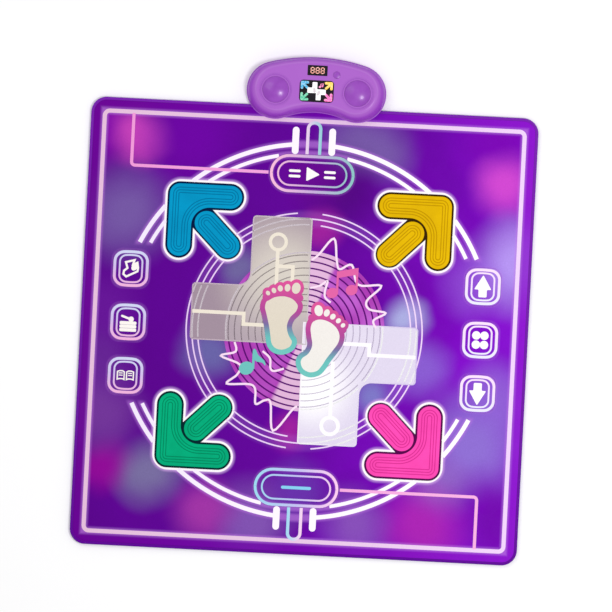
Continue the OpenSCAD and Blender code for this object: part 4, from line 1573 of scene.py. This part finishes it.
class Symbols:
    """The symbols on the framed pads, drawn round a middle point."""

    @staticmethod
    def play(sheet: Sheet, c: Point) -> None:
        """A play triangle between two double dashes."""
        sheet.rounded([(c[0] - 12, c[1] + 15, 3), (c[0] - 12, c[1] - 15, 3), (c[0] + 16, c[1], 3)], 4)
        for side in (-1, 1):
            for y in (-5.5, 5.5):
                sheet.bar((c[0] + side * 27, c[1] + y), (c[0] + side * 46, c[1] + y), 5.5)

    @staticmethod
    def dash(sheet: Sheet, c: Point) -> None:
        """One long dash."""
        sheet.bar((c[0] - 28, c[1]), (c[0] + 28, c[1]), 6.5)

    @staticmethod
    def shoe(sheet: Sheet, c: Point) -> None:
        """A slanted dance shoe in outline with a filled toe."""
        line = [
            (-11, 13), (7, 18), (4, 9), (13, 13), (15, 2),
            (14, -5), (-9, -17), (-15, -12), (-14, -5), (-7, 1),
        ]
        spots = [(c[0] + x, c[1] + y) for x, y in line]
        sheet.stroke(spots, 4.2, closed=True)
        sheet.disc((c[0] + 8, c[1] + 4), 6.0, 1.45, -35)

    @staticmethod
    def drum(sheet: Sheet, c: Point) -> None:
        """A drum with a stick over it."""
        for y in (-16.5, -9.2, -2.0):
            sheet.rounded(box_corners((c[0], c[1] + y), 35, 6.8, 2.4), 4)
        sheet.bar((c[0] - 13, c[1] + 12), (c[0] + 5, c[1] + 6), 4.6)
        sheet.disc((c[0] + 6, c[1] + 6), 5.6)

    @staticmethod
    def book(sheet: Sheet, c: Point) -> None:
        """An open book with lines on its pages."""
        for side in (-1, 1):
            page = [(1.2, 9), (6, 11.5), (12, 11.5), (18, 9.5), (18, -9.5), (12, -7.5), (6, -7.5), (1.2, -10)]
            spots = [(c[0] + side * x, c[1] + y - 1) for x, y in page]
            sheet.band(spots, 2.6)
            for y in (4.5, 0.0):
                sheet.stroke([(c[0] + side * 5.5, c[1] + y), (c[0] + side * 14, c[1] + y)], 2.0)

    @staticmethod
    def up(sheet: Sheet, c: Point, way: int = 1) -> None:
        """An arrow that points up, or down where way is -1."""
        shape = [(0, 24.5), (18, -6), (8.6, -6), (8.6, -22), (-8.6, -22), (-8.6, -6), (-18, -6)]
        corners = [(c[0] + x, c[1] + way * y, 2.5) for x, y in shape]
        sheet.rounded(corners, 4)

    @staticmethod
    def down(sheet: Sheet, c: Point) -> None:
        """An arrow that points down."""
        Symbols.up(sheet, c, -1)

    @staticmethod
    def dots(sheet: Sheet, c: Point) -> None:
        """Four round dots."""
        for sx in (-1, 1):
            for sy in (-1, 1):
                sheet.disc((c[0] + sx * 8.4, c[1] + sy * 9.6), 8.8)


# ---------------------------------------------------------------- centre print


def in_left_cross(x: float, y: float) -> bool:
    """Tells whether a place lies on the upper left half of the cross."""
    return (-117 < x < 5 and -28 < y < 234) or (-236 < x < 5 and -28 < y < 89)


def in_right_cross(x: float, y: float) -> bool:
    """Tells whether a place lies on the lower right half of the cross."""
    return (-2 < x < 120 and -234 < y < 18) or (-2 < x < 236 and -100 < y < 18)


@dataclass
class CentrePrint:
    """The picture in the middle: record, milky cross, circuit lines, sparks, notes and feet.

    Attributes:
        record_r: Radius of the record.
        groove_radii: Radii of its grooves.
    """

    record_r: float = 167.0
    groove_radii: tuple[float, ...] = (158, 145, 131, 116, 102, 88, 76, 63, 53, 40)

    def build(self) -> None:
        """Prints the record first and the feet last."""
        self.record()
        self.cross()
        self.veiled_rings()
        self.circuit()
        self.sparks()
        self.notes()
        self.feet()

    def record(self) -> None:
        """Prints the record and its dark grooves."""
        disc = Sheet("record_disc", Layer.DISC.height())
        disc.disc((0, 0), self.record_r, steps=128)
        disc.finish(DiscFinish("record_ink"))
        lines = Sheet("record_grooves", Layer.GROOVES.height())
        for radius in self.groove_radii:
            lines.stroke(arc((0, 0), radius, 0, 357, 119), 3.2, closed=True)
        ink = InkFinish("groove_ink", even((92, 6, 112), (98, 12, 122)), cover=0.88)
        lines.finish(ink)

    def cross(self) -> None:
        """Prints the two halves of the milky cross and their fine edges."""
        left = ((-237, 90, 8), (-118, 90, 25), (-118, 235, 8), (6, 235, 6), (6, -29, 0), (-237, -29, 8))
        right = ((237, -101, 8), (121, -101, 25), (121, -235, 8), (-3, -235, 6), (-3, 19, 0), (237, 19, 8))
        for name, corners, lift, tint, edge in (
            ("left", left, 0.0,
             CrossFinish(
                 "left_tint", (168, 148, 163), (216, 208, 198), (-50, 112), 165, 0.88, 0.96, (204, 192, 198)
             ),
             InkFinish("left_edge_ink", even((206, 184, 200), (222, 212, 214)), (-237, 0), (6, 0), 0.7)),
            ("right", right, 0.02,
             CrossFinish(
                 "right_tint", (230, 221, 243), (255, 254, 255), (25, -118), 115, 0.9, 1.0, (238, 230, 246)
             ),
             InkFinish("right_edge_ink", even((255, 250, 255), (222, 206, 244)), (0, 0), (237, 0), 0.8)),
        ):
            plate = Sheet(f"{name}_cross", Layer.CROSS.height() + lift)
            plate.rounded(corners)
            plate.finish(tint)
            Sheet(f"{name}_cross_edge", Layer.CIRCUIT.height()).frame(corners, 2.6).finish(edge)

    def veiled_rings(self) -> None:
        """Prints the record's grooves and the fine rings as they show through the cross."""
        shown = (
            ("grooves", "ghost", self.groove_radii, 180, 2.2),
            ("rings", "veil", (*FINE_RINGS, 163.0), 240, 3.0),
        )
        tones = {
            "left": (in_left_cross, ((116, 100, 112), 0.24), ((228, 218, 226), 0.5)),
            "right": (in_right_cross, ((186, 174, 200), 0.26), ((255, 255, 255), 0.6)),
        }
        for name, (inside, *inks) in tones.items():
            for (part, label, radii, steps, width), (colour, cover) in zip(shown, inks):
                sheet = Sheet(f"{name}_veiled_{part}", Layer.CIRCUIT.height() + 0.012, 0.03)
                for radius in radii:
                    for run in runs_where(arc((0, 0), radius, 0, 360, steps), inside):
                        sheet.stroke(run, width)
                sheet.finish(InkFinish(f"{name}_{label}_ink", even(colour, colour), cover=cover))

    def circuit(self) -> None:
        """Prints the lines with round ends that run over the cross."""
        left = (
            [(-63, 166), (-63, 10)], [(-63, 132), (-30, 132), (-30, 100)],
            [(-234, 30), (-127, 30), (-127, 8), (-66, 8)],
        )
        right = ([(63, -177), (63, -60)], [(234, -43), (137, -43), (137, -22), (82, -22)])
        for name, centre, radius, ring_w, width, paths, ink in (
            ("left", (-63, 182), 16.5, 7.0, 7.5, left,
             InkFinish("cream_ink", even((236, 226, 212), (232, 224, 206)))),
            ("right", (63, -194), 17.5, 8.0, 8.0, right,
             InkFinish("circuit_white_ink", even((255, 252, 255), (248, 242, 252)))),
        ):
            sheet = Sheet(f"{name}_circuit", Layer.STAR.height())
            sheet.stroke(arc(centre, radius, 0, 345, 23), ring_w, closed=True)
            for path in paths:
                sheet.stroke(path, width)
            sheet.finish(ink)

    def sparks(self) -> None:
        """Prints the zigzag lines that burst out of the record."""
        upper = [
            (8, 148), (22, 160), (52, 195), (60, 150), (67, 132), (92, 142), (107, 102), (155, 102),
            (127, 70), (133, 52), (167, 46), (143, 30), (148, 14),
        ]
        lower = [
            (-143, -30), (-140, -50), (-170, -60), (-130, -76), (-134, -97), (-155, -117), (-108, -116),
            (-95, -127), (-93, -156), (-75, -148), (-62, -152), (-54, -210), (-15, -163), (-6, -158),
        ]
        inner = [(-84, -46), (-68, -60), (-66, -80), (-58, -86), (-38, -80)]
        small = [(8, 90), (28, 96), (43, 106), (39, 86), (40, 72), (52, 62)]
        sheet = Sheet("sparks", Layer.STAR.height())
        for path in (upper, lower, inner, small):
            sheet.stroke(curve_through(path), 4.4)
        sheet.finish(InkFinish("spark_ink", even((244, 214, 238), (248, 226, 244))))

    def notes(self) -> None:
        """Prints the pink double note and the teal note."""
        pink = Sheet("pink_note", Layer.NOTES.height())
        for head, top in (((54, 82), 124), ((94, 90), 132)):
            pink.disc(head, 12.5, 0.86, 20)
            pink.stroke([(head[0] + 10, head[1]), (head[0] + 10, top)], 4.6)
        pink.region([(61.7, 113), (61.7, 127), (106.3, 137), (106.3, 123)])
        pink.finish(InkFinish("pink_note_ink", even((218, 92, 160), (226, 104, 168))))
        teal = Sheet("teal_note", Layer.NOTES.height())
        teal.disc((-116, -83), 15.5, 0.88, 20)
        teal.stroke([(-102, -84), (-102, -46)], 5.0)
        flag = [(-103.5, -44), (-98, -44), (-92, -55), (-79, -66), (-77, -76), (-84, -70), (-99, -66)]
        teal.region(loop_through(flag, 4))
        teal.finish(InkFinish("teal_note_ink", even((104, 188, 184), (116, 196, 190))))

    def feet(self) -> None:
        """Prints the pair of bare footprints."""
        fade: Stops = (
            (0.0, (218, 84, 152)), (0.42, (176, 72, 150)), (0.62, (120, 110, 160)), (0.8, (104, 190, 186)),
            (1.0, (112, 196, 188)),
        )
        left = [
            (-44, 75), (-24, 69), (-11, 54), (-14, 38), (-26, 24), (-31, 8),
            (-27, -8), (-19, -22), (-24, -37), (-42, -46), (-60, -43), (-71, -31),
            (-75, -12), (-79, 8), (-85, 30), (-89, 46), (-84, 62), (-66, 72),
        ]
        right = [
            (14, 24), (32, 31), (54, 26), (71, 13), (79, -4), (77, -22), (66, -40), (54, -57), (44, -74),
            (33, -86), (15, -90), (-2, -82), (-9, -66), (-5, -53), (7, -43), (13, -28), (10, -10), (8, 8),
        ]
        left_ball = [(-82, 66), (-68, 75), (-46, 82), (-24, 80), (-13, 68)]
        right_ball = [(15, 28), (31, 38), (51, 34), (68, 22), (80, 7)]
        left_toes = (
            ((-21, 88), 9.0, 1.3, -8), ((-39, 88), 6.0, 1.3, -5), ((-54, 86), 5.4, 1.2, 10),
            ((-67, 81), 4.8, 1.2, 25), ((-79, 75), 4.2, 1.2, 35),
        )
        right_toes = (
            ((28, 44), 8.8, 1.3, 12), ((45, 40), 6.0, 1.3, -20), ((58, 33), 5.4, 1.2, -35),
            ((70, 25), 4.8, 1.2, -45), ((80, 16), 4.2, 1.2, -50),
        )
        border = 7.0
        for name, sole, ball, toes, start, end, tone in (
            ("left", left, left_ball, left_toes, (0, 100), (0, -46), even((224, 214, 200), (218, 210, 190))),
            ("right", right, right_ball, right_toes, (0, 55), (0, -90),
             even((240, 234, 230), (236, 233, 227))),
        ):
            outline = loop_through(sole, 5)
            line = Sheet(f"{name}_foot_line", Layer.SOLES.height())
            for one, two in zip(ball, ball[1:]):
                line.bar(one, two, 16.0)
            for centre, radius, stretch, turn in toes:
                outer = radius + border
                line.disc(centre, outer, (radius * stretch + border) / outer, turn)
            line.stroke(outline, 10.5, closed=True)
            line.finish(InkFinish(f"{name}_foot_ink", fade, start, end))
            skin = InkFinish(f"{name}_sole_ink", tone, (0, 100), (0, -90))
            Sheet(f"{name}_sole", Layer.FEET.height()).region(outline).finish(skin)
            pads = Sheet(f"{name}_toes", Layer.TOES.height())
            for centre, radius, stretch, turn in toes:
                pads.disc(centre, radius, stretch, turn)
            pads.finish(skin)


# ---------------------------------------------------------------- the pod


@dataclass
class Pod:
    """The purple control pod with its domes, windows, lit prints, button and underside.

    Attributes:
        print_z: Height of the lowest lit print, on the windows.
        screen: Middle of the picture screen.
    """

    print_z: float = POD_FACE + 0.31
    screen: Point = (0.0, 497.5)

    def build(self) -> None:
        """Dresses the shells and makes the lit prints."""
        plastic = PodFinish("pod_plastic_shell", gloss=0.2)
        lower = PodFinish("pod_plastic_base", (150, 66, 188), (150, 66, 188))
        dome = PlainFinish(
            "dome_plastic", (142, 58, 178), (152, 70, 188), 30.0, 0.28, coat=0.15, relief=0.01, gloss=0.4
        )
        for node, name, finish, body, slot, angle in (
            ("pod_top_shell", "pod_cap", plastic, "mat", "pod_plastic", 28.0),
            ("pod_bottom_shell", "pod_base", lower, "mat", "pod_base_plastic", 28.0),
            ("left_speaker_dome", "left_dome", dome, "mat", "dome_plastic", 40.0),
            ("right_speaker_dome", "right_dome", dome, "mat", "dome_plastic", 40.0),
            ("power_button", "round_button", dome, "power_button", "pod_plastic", 40.0),
        ):
            smooth_copy(node, name, finish, body, angle)
        for side, name in ((-1, "left"), (1, "right")):
            lobe = (side * LOBE_X, LOBE_Y)
            trim = Sheet(f"{name}_sound_ring", 36.84, 0.12)
            trim.band(arc(lobe, 32.8, 0, 357, 119), 4.6).finish(plastic, "mat", "pod_plastic")
            # Painted shade: a thin darker ring round each dome stands in for the shade in its groove.
            line = Sheet(f"{name}_groove_shade_line", 36.97, 0.03)
            line.stroke(arc(lobe, 30.8, 0, 357, 119), 1.2, closed=True).finish(dome, "mat", "pod_plastic")
        dress("score_window", WindowFinish("score_glass", gloss=0.15))
        dress("screen_window", WindowFinish("screen_glass", gloss=0.15))
        self.digits()
        self.picture()

    def lit_sheet(self, name: str, layer: int) -> Sheet:
        """Starts a lit print on the windows, in that layer from below."""
        return Sheet(name, self.print_z + layer * PRINT_STEP)

    @staticmethod
    def light(sheet: Sheet, name: str, colour: Colour, power: float) -> None:
        """Finishes a lit print with a lamp of its own."""
        sheet.finish(LampFinish(name, colour, power), "mat", "window_black")

    def digits(self) -> None:
        """Makes the three lit digits, each an eight of seven bars."""
        sheet = self.lit_sheet("lit_digits", 0)
        for k in (-1, 0, 1):
            x, y = k * 10.4, 540.5
            for bar in (-5.8, 0.0, 5.8):
                sheet.rounded(box_corners((x, y + bar), 4.6, 1.5, 0.6), 3)
            for sx in (-1, 1):
                for sy in (-1, 1):
                    sheet.rounded(box_corners((x + sx * 3.2, y + sy * 2.9), 1.5, 4.8, 0.6), 3)
        self.light(sheet, "digit_lamp", (246, 160, 138), 0.45)

    def picture(self) -> None:
        """Makes the small picture on the screen: four arrows, a white cross, a note and feet."""
        cx, cy = self.screen
        for name, sx, sy, colour in (
            ("blue", -1, 1, (40, 160, 205)), ("yellow", 1, 1, (240, 195, 50)),
            ("green", -1, -1, (20, 175, 130)), ("pink", 1, -1, (245, 85, 175)),
        ):
            sheet = self.lit_sheet(f"screen_{name}_arrow", 0)
            x, y = cx + sx * 30.5, cy + sy * 17.5
            sheet.bar((x, y), (x - sx * 11.5, y), 5.4).bar((x, y), (x, y - sy * 11.5), 5.4)
            sheet.bar((x - sx * 4.5, y - sy * 4.5), (x - sx * 11, y - sy * 11), 5.0)
            self.light(sheet, f"screen_{name}_lamp", colour, 0.3)
        cross = self.lit_sheet("screen_cross", 1)
        for way in (1, -1):
            shape = [(-19, 7), (-9, 7), (-9, 18.5), (1, 18.5), (1, -4), (-19, -4)]
            cross.rounded([(cx + way * x, cy + way * y, 1.2) for x, y in shape], 3)
        self.light(cross, "screen_cross_lamp", (244, 240, 244), 0.3)
        bits = self.lit_sheet("screen_bits", 2)
        bits.disc((6.5, 506.5), 2.2).disc((11.5, 508.5), 2.0)
        bits.stroke([(8, 507), (8, 512.5), (13.2, 513.5), (13.2, 509)], 1.3)
        self.light(bits, "screen_bit_lamp", (236, 96, 168), 0.3)
        feet = self.lit_sheet("screen_feet", 2)
        feet.disc((-4.5, 499), 3.0, 1.9, 8).disc((4.0, 493.5), 3.0, 1.9, -28)
        self.light(feet, "screen_feet_lamp", (200, 190, 196), 0.2)

    def dress(self) -> None:
        """Dresses the parts inside and under the pod."""
        steel = PlainFinish("plated_steel", (196, 198, 204), (176, 178, 186), 8.0, 0.28, metal=1.0)
        black = PlainFinish("black_plastic", (34, 34, 38), (26, 26, 30), 10.0, 0.45)
        cone = PlainFinish("speaker_cone", (40, 40, 44), (28, 28, 32), 6.0, 0.7, relief=0.15)
        board = PlainFinish("board_laminate", (22, 104, 62), (16, 88, 52), 14.0, 0.35, coat=0.3)
        finishes = {
            "left_speaker": cone, "right_speaker": cone, "score_display": black, "screen_panel": black,
            "power_switch": black, "main_board": board, "board_parts": black,
            "membrane_connector": PlainFinish("connector_nylon", (232, 226, 200), (220, 212, 186), 8.0, 0.5),
            "batteries": PlainFinish("battery_jacket", (196, 150, 54), (170, 128, 44), 16.0, 0.35, coat=0.3),
            "battery_springs": steel, "battery_contacts": steel, "battery_door_screw": steel,
            "pod_screws": steel, "clamp_bar": steel, "clamp_screws": steel, "board_screws": steel,
            "pod_feet": PlainFinish("foot_rubber", (38, 36, 42), (28, 26, 32), 6.0, 0.8, relief=0.1),
            "speaker_wires": PlainFinish("red_lead", (190, 30, 30), (168, 22, 22), 6.0, 0.4),
            "battery_wires": PlainFinish("black_lead", (26, 26, 28), (18, 18, 20), 6.0, 0.4),
            "battery_door": PodFinish("door_plastic", (146, 62, 184), (146, 62, 184)),
        }
        for node, finish in finishes.items():
            dress(node, finish)


# ---------------------------------------------------------------- studio


@dataclass
class Studio:
    """The pale floor, the soft lights and the camera straight over the mat.

    Attributes:
        aim: Point that the camera looks at, in millimetres.
        up: Direction that is upward in the picture.
        lens: Focal length in millimetres.
        view_w: Width of the view at the mat, in metres.
        floor_z: Height of the floor in millimetres, just under the grip dots.
    """

    aim: tuple[float, float, float] = (1.2, 52.2, 8.6)
    up: tuple[float, float, float] = (-0.0518, 0.9987, 0.0)
    lens: float = 300.0
    view_w: float = 1.2709
    floor_z: float = -0.35

    def build(self) -> None:
        """Makes the floor, lights, world and camera."""
        self.floor()
        self.lamps()
        self.camera()
        bpy.context.scene.view_settings.view_transform = "Standard"

    def floor(self) -> None:
        """Makes the floor, a wide sheet just under the grip dots."""
        mesh = bmesh.new()
        bmesh.ops.create_grid(mesh, x_segments=4, y_segments=4, size=6.0)
        bmesh.ops.translate(mesh, verts=mesh.verts[:], vec=(0, 0, self.floor_z * MM))
        data = bpy.data.meshes.new("studio_floor")
        mesh.to_mesh(data)
        mesh.free()
        data.materials.append(FloorFinish("studio_floor_white").material())
        floor = bpy.data.objects.new("studio_floor", data)
        bpy.context.scene.collection.objects.link(floor)

    def lamps(self) -> None:
        """Makes the even sky and two soft boxes."""
        world = bpy.data.worlds.new("studio_sky")
        world.use_nodes = True
        sky = world.node_tree.nodes["Background"]
        sky.inputs["Color"].default_value = (1.0, 0.995, 1.0, 1.0)
        sky.inputs["Strength"].default_value = 0.67
        bpy.context.scene.world = world
        for name, at, size, power in (
            ("key_box", (1.15, -0.25, 3.0), 0.7, 36.5), ("fill_box", (-1.6, 1.4, 2.6), 1.6, 13.0),
        ):
            light = bpy.data.lights.new(name, "AREA")
            light.shape = "SQUARE"
            light.size = size
            light.energy = power
            lamp = bpy.data.objects.new(name, light)
            lamp.location = at
            aim = Vector((0, 0.1, 0)) - Vector(at)
            lamp.rotation_euler = aim.to_track_quat("-Z", "Y").to_euler()
            bpy.context.scene.collection.objects.link(lamp)

    def camera(self) -> None:
        """Makes the camera, straight over the mat and slightly turned."""
        data = bpy.data.cameras.new("camera")
        data.lens = self.lens
        camera = bpy.data.objects.new("camera", data)
        distance = self.view_w * self.lens / data.sensor_width
        data.clip_end = distance * 3
        up = Vector(self.up).normalized()
        side = up.cross(Vector((0, 0, 1)))
        turn = Matrix((side, up, Vector((0, 0, 1)))).transposed().to_4x4()
        aim = Vector(self.aim) * MM
        camera.matrix_world = Matrix.Translation(aim + Vector((0, 0, distance))) @ turn
        bpy.context.scene.collection.objects.link(camera)
        bpy.context.scene.camera = camera


# ---------------------------------------------------------------- all of it


def arrow_pads() -> list[ArrowPad]:
    """The four arrow pads."""
    at = ARROW_AT
    return [
        ArrowPad("blue", (-at, at), 0, (0, 150, 197), (0, 112, 155), (0, 24, 66)),
        ArrowPad("yellow", (at, at), -90, (228, 183, 0), (186, 142, 0), (54, 32, 0)),
        ArrowPad("pink", (at, -at), 180, (252, 76, 180), (208, 44, 142), (84, 0, 76)),
        ArrowPad("green", (-at, -at), 90, (0, 172, 122), (0, 130, 90), (0, 40, 46)),
    ]


def framed_pads() -> list[FramedPad]:
    """The two long pads and the six small ones."""
    long, inner, radii = (176.0, 79.0), (146.0, 53.0), (39.4, 26.4)
    cool: Stops = ((0.0, (206, 214, 240)), (0.45, (206, 188, 232)), (1.0, (240, 176, 216)))
    warm: Stops = even((246, 222, 246), (240, 222, 250), (232, 232, 250))
    pads = [
        FramedPad("start_pad", (0, PILL_Y), long, inner, radii,
                  even((246, 186, 216), (196, 170, 214), (136, 194, 192)), False, 0.0, Symbols.play),
        FramedPad("select_pad", (0, -PILL_Y), long, inner, radii,
                  even((154, 214, 236), (190, 190, 236), (250, 202, 236)), False, 0.0, Symbols.dash),
    ]
    small, small_in = (73.4, 78.0), (50.5, 62.5)
    for name, side, row, stops, draw in (
        ("melody_pad", -1, 1, cool, Symbols.shoe), ("drum_pad", -1, 0, cool, Symbols.drum),
        ("book_pad", -1, -1, cool, Symbols.book), ("up_pad", 1, 1, warm, Symbols.up),
        ("mode_pad", 1, 0, warm, Symbols.dots), ("down_pad", 1, -1, warm, Symbols.down),
    ):
        centre = (side * ICON_X, row * ICON_PITCH)
        pads.append(FramedPad(name, centre, small, small_in, (19.8, 13.0), stops, True, 4.0, draw))
    return pads


def main() -> None:
    """Builds the mat's looks in order."""
    logging.basicConfig(level=logging.INFO, format="%(message)s")
    studio = Studio()
    studio.build()
    sheets = MatSheets()
    sheets.build()
    sheets.dress()
    LinePrint().build()
    for pad in arrow_pads():
        pad.build()
    cover = sheets.cover_finish()
    for pad in framed_pads():
        dress(pad.body, cover)
        pad.build()
    CentrePrint().build()
    pod = Pod()
    pod.build()
    pod.dress()
    rubber = PlainFinish("contact_carbon", (30, 30, 34), (22, 22, 26), 3.0, 0.7)
    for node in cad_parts:
        if node.endswith(("_contacts", "_contact")):
            dress(node, rubber)


if __name__ == "__main__":
    main()
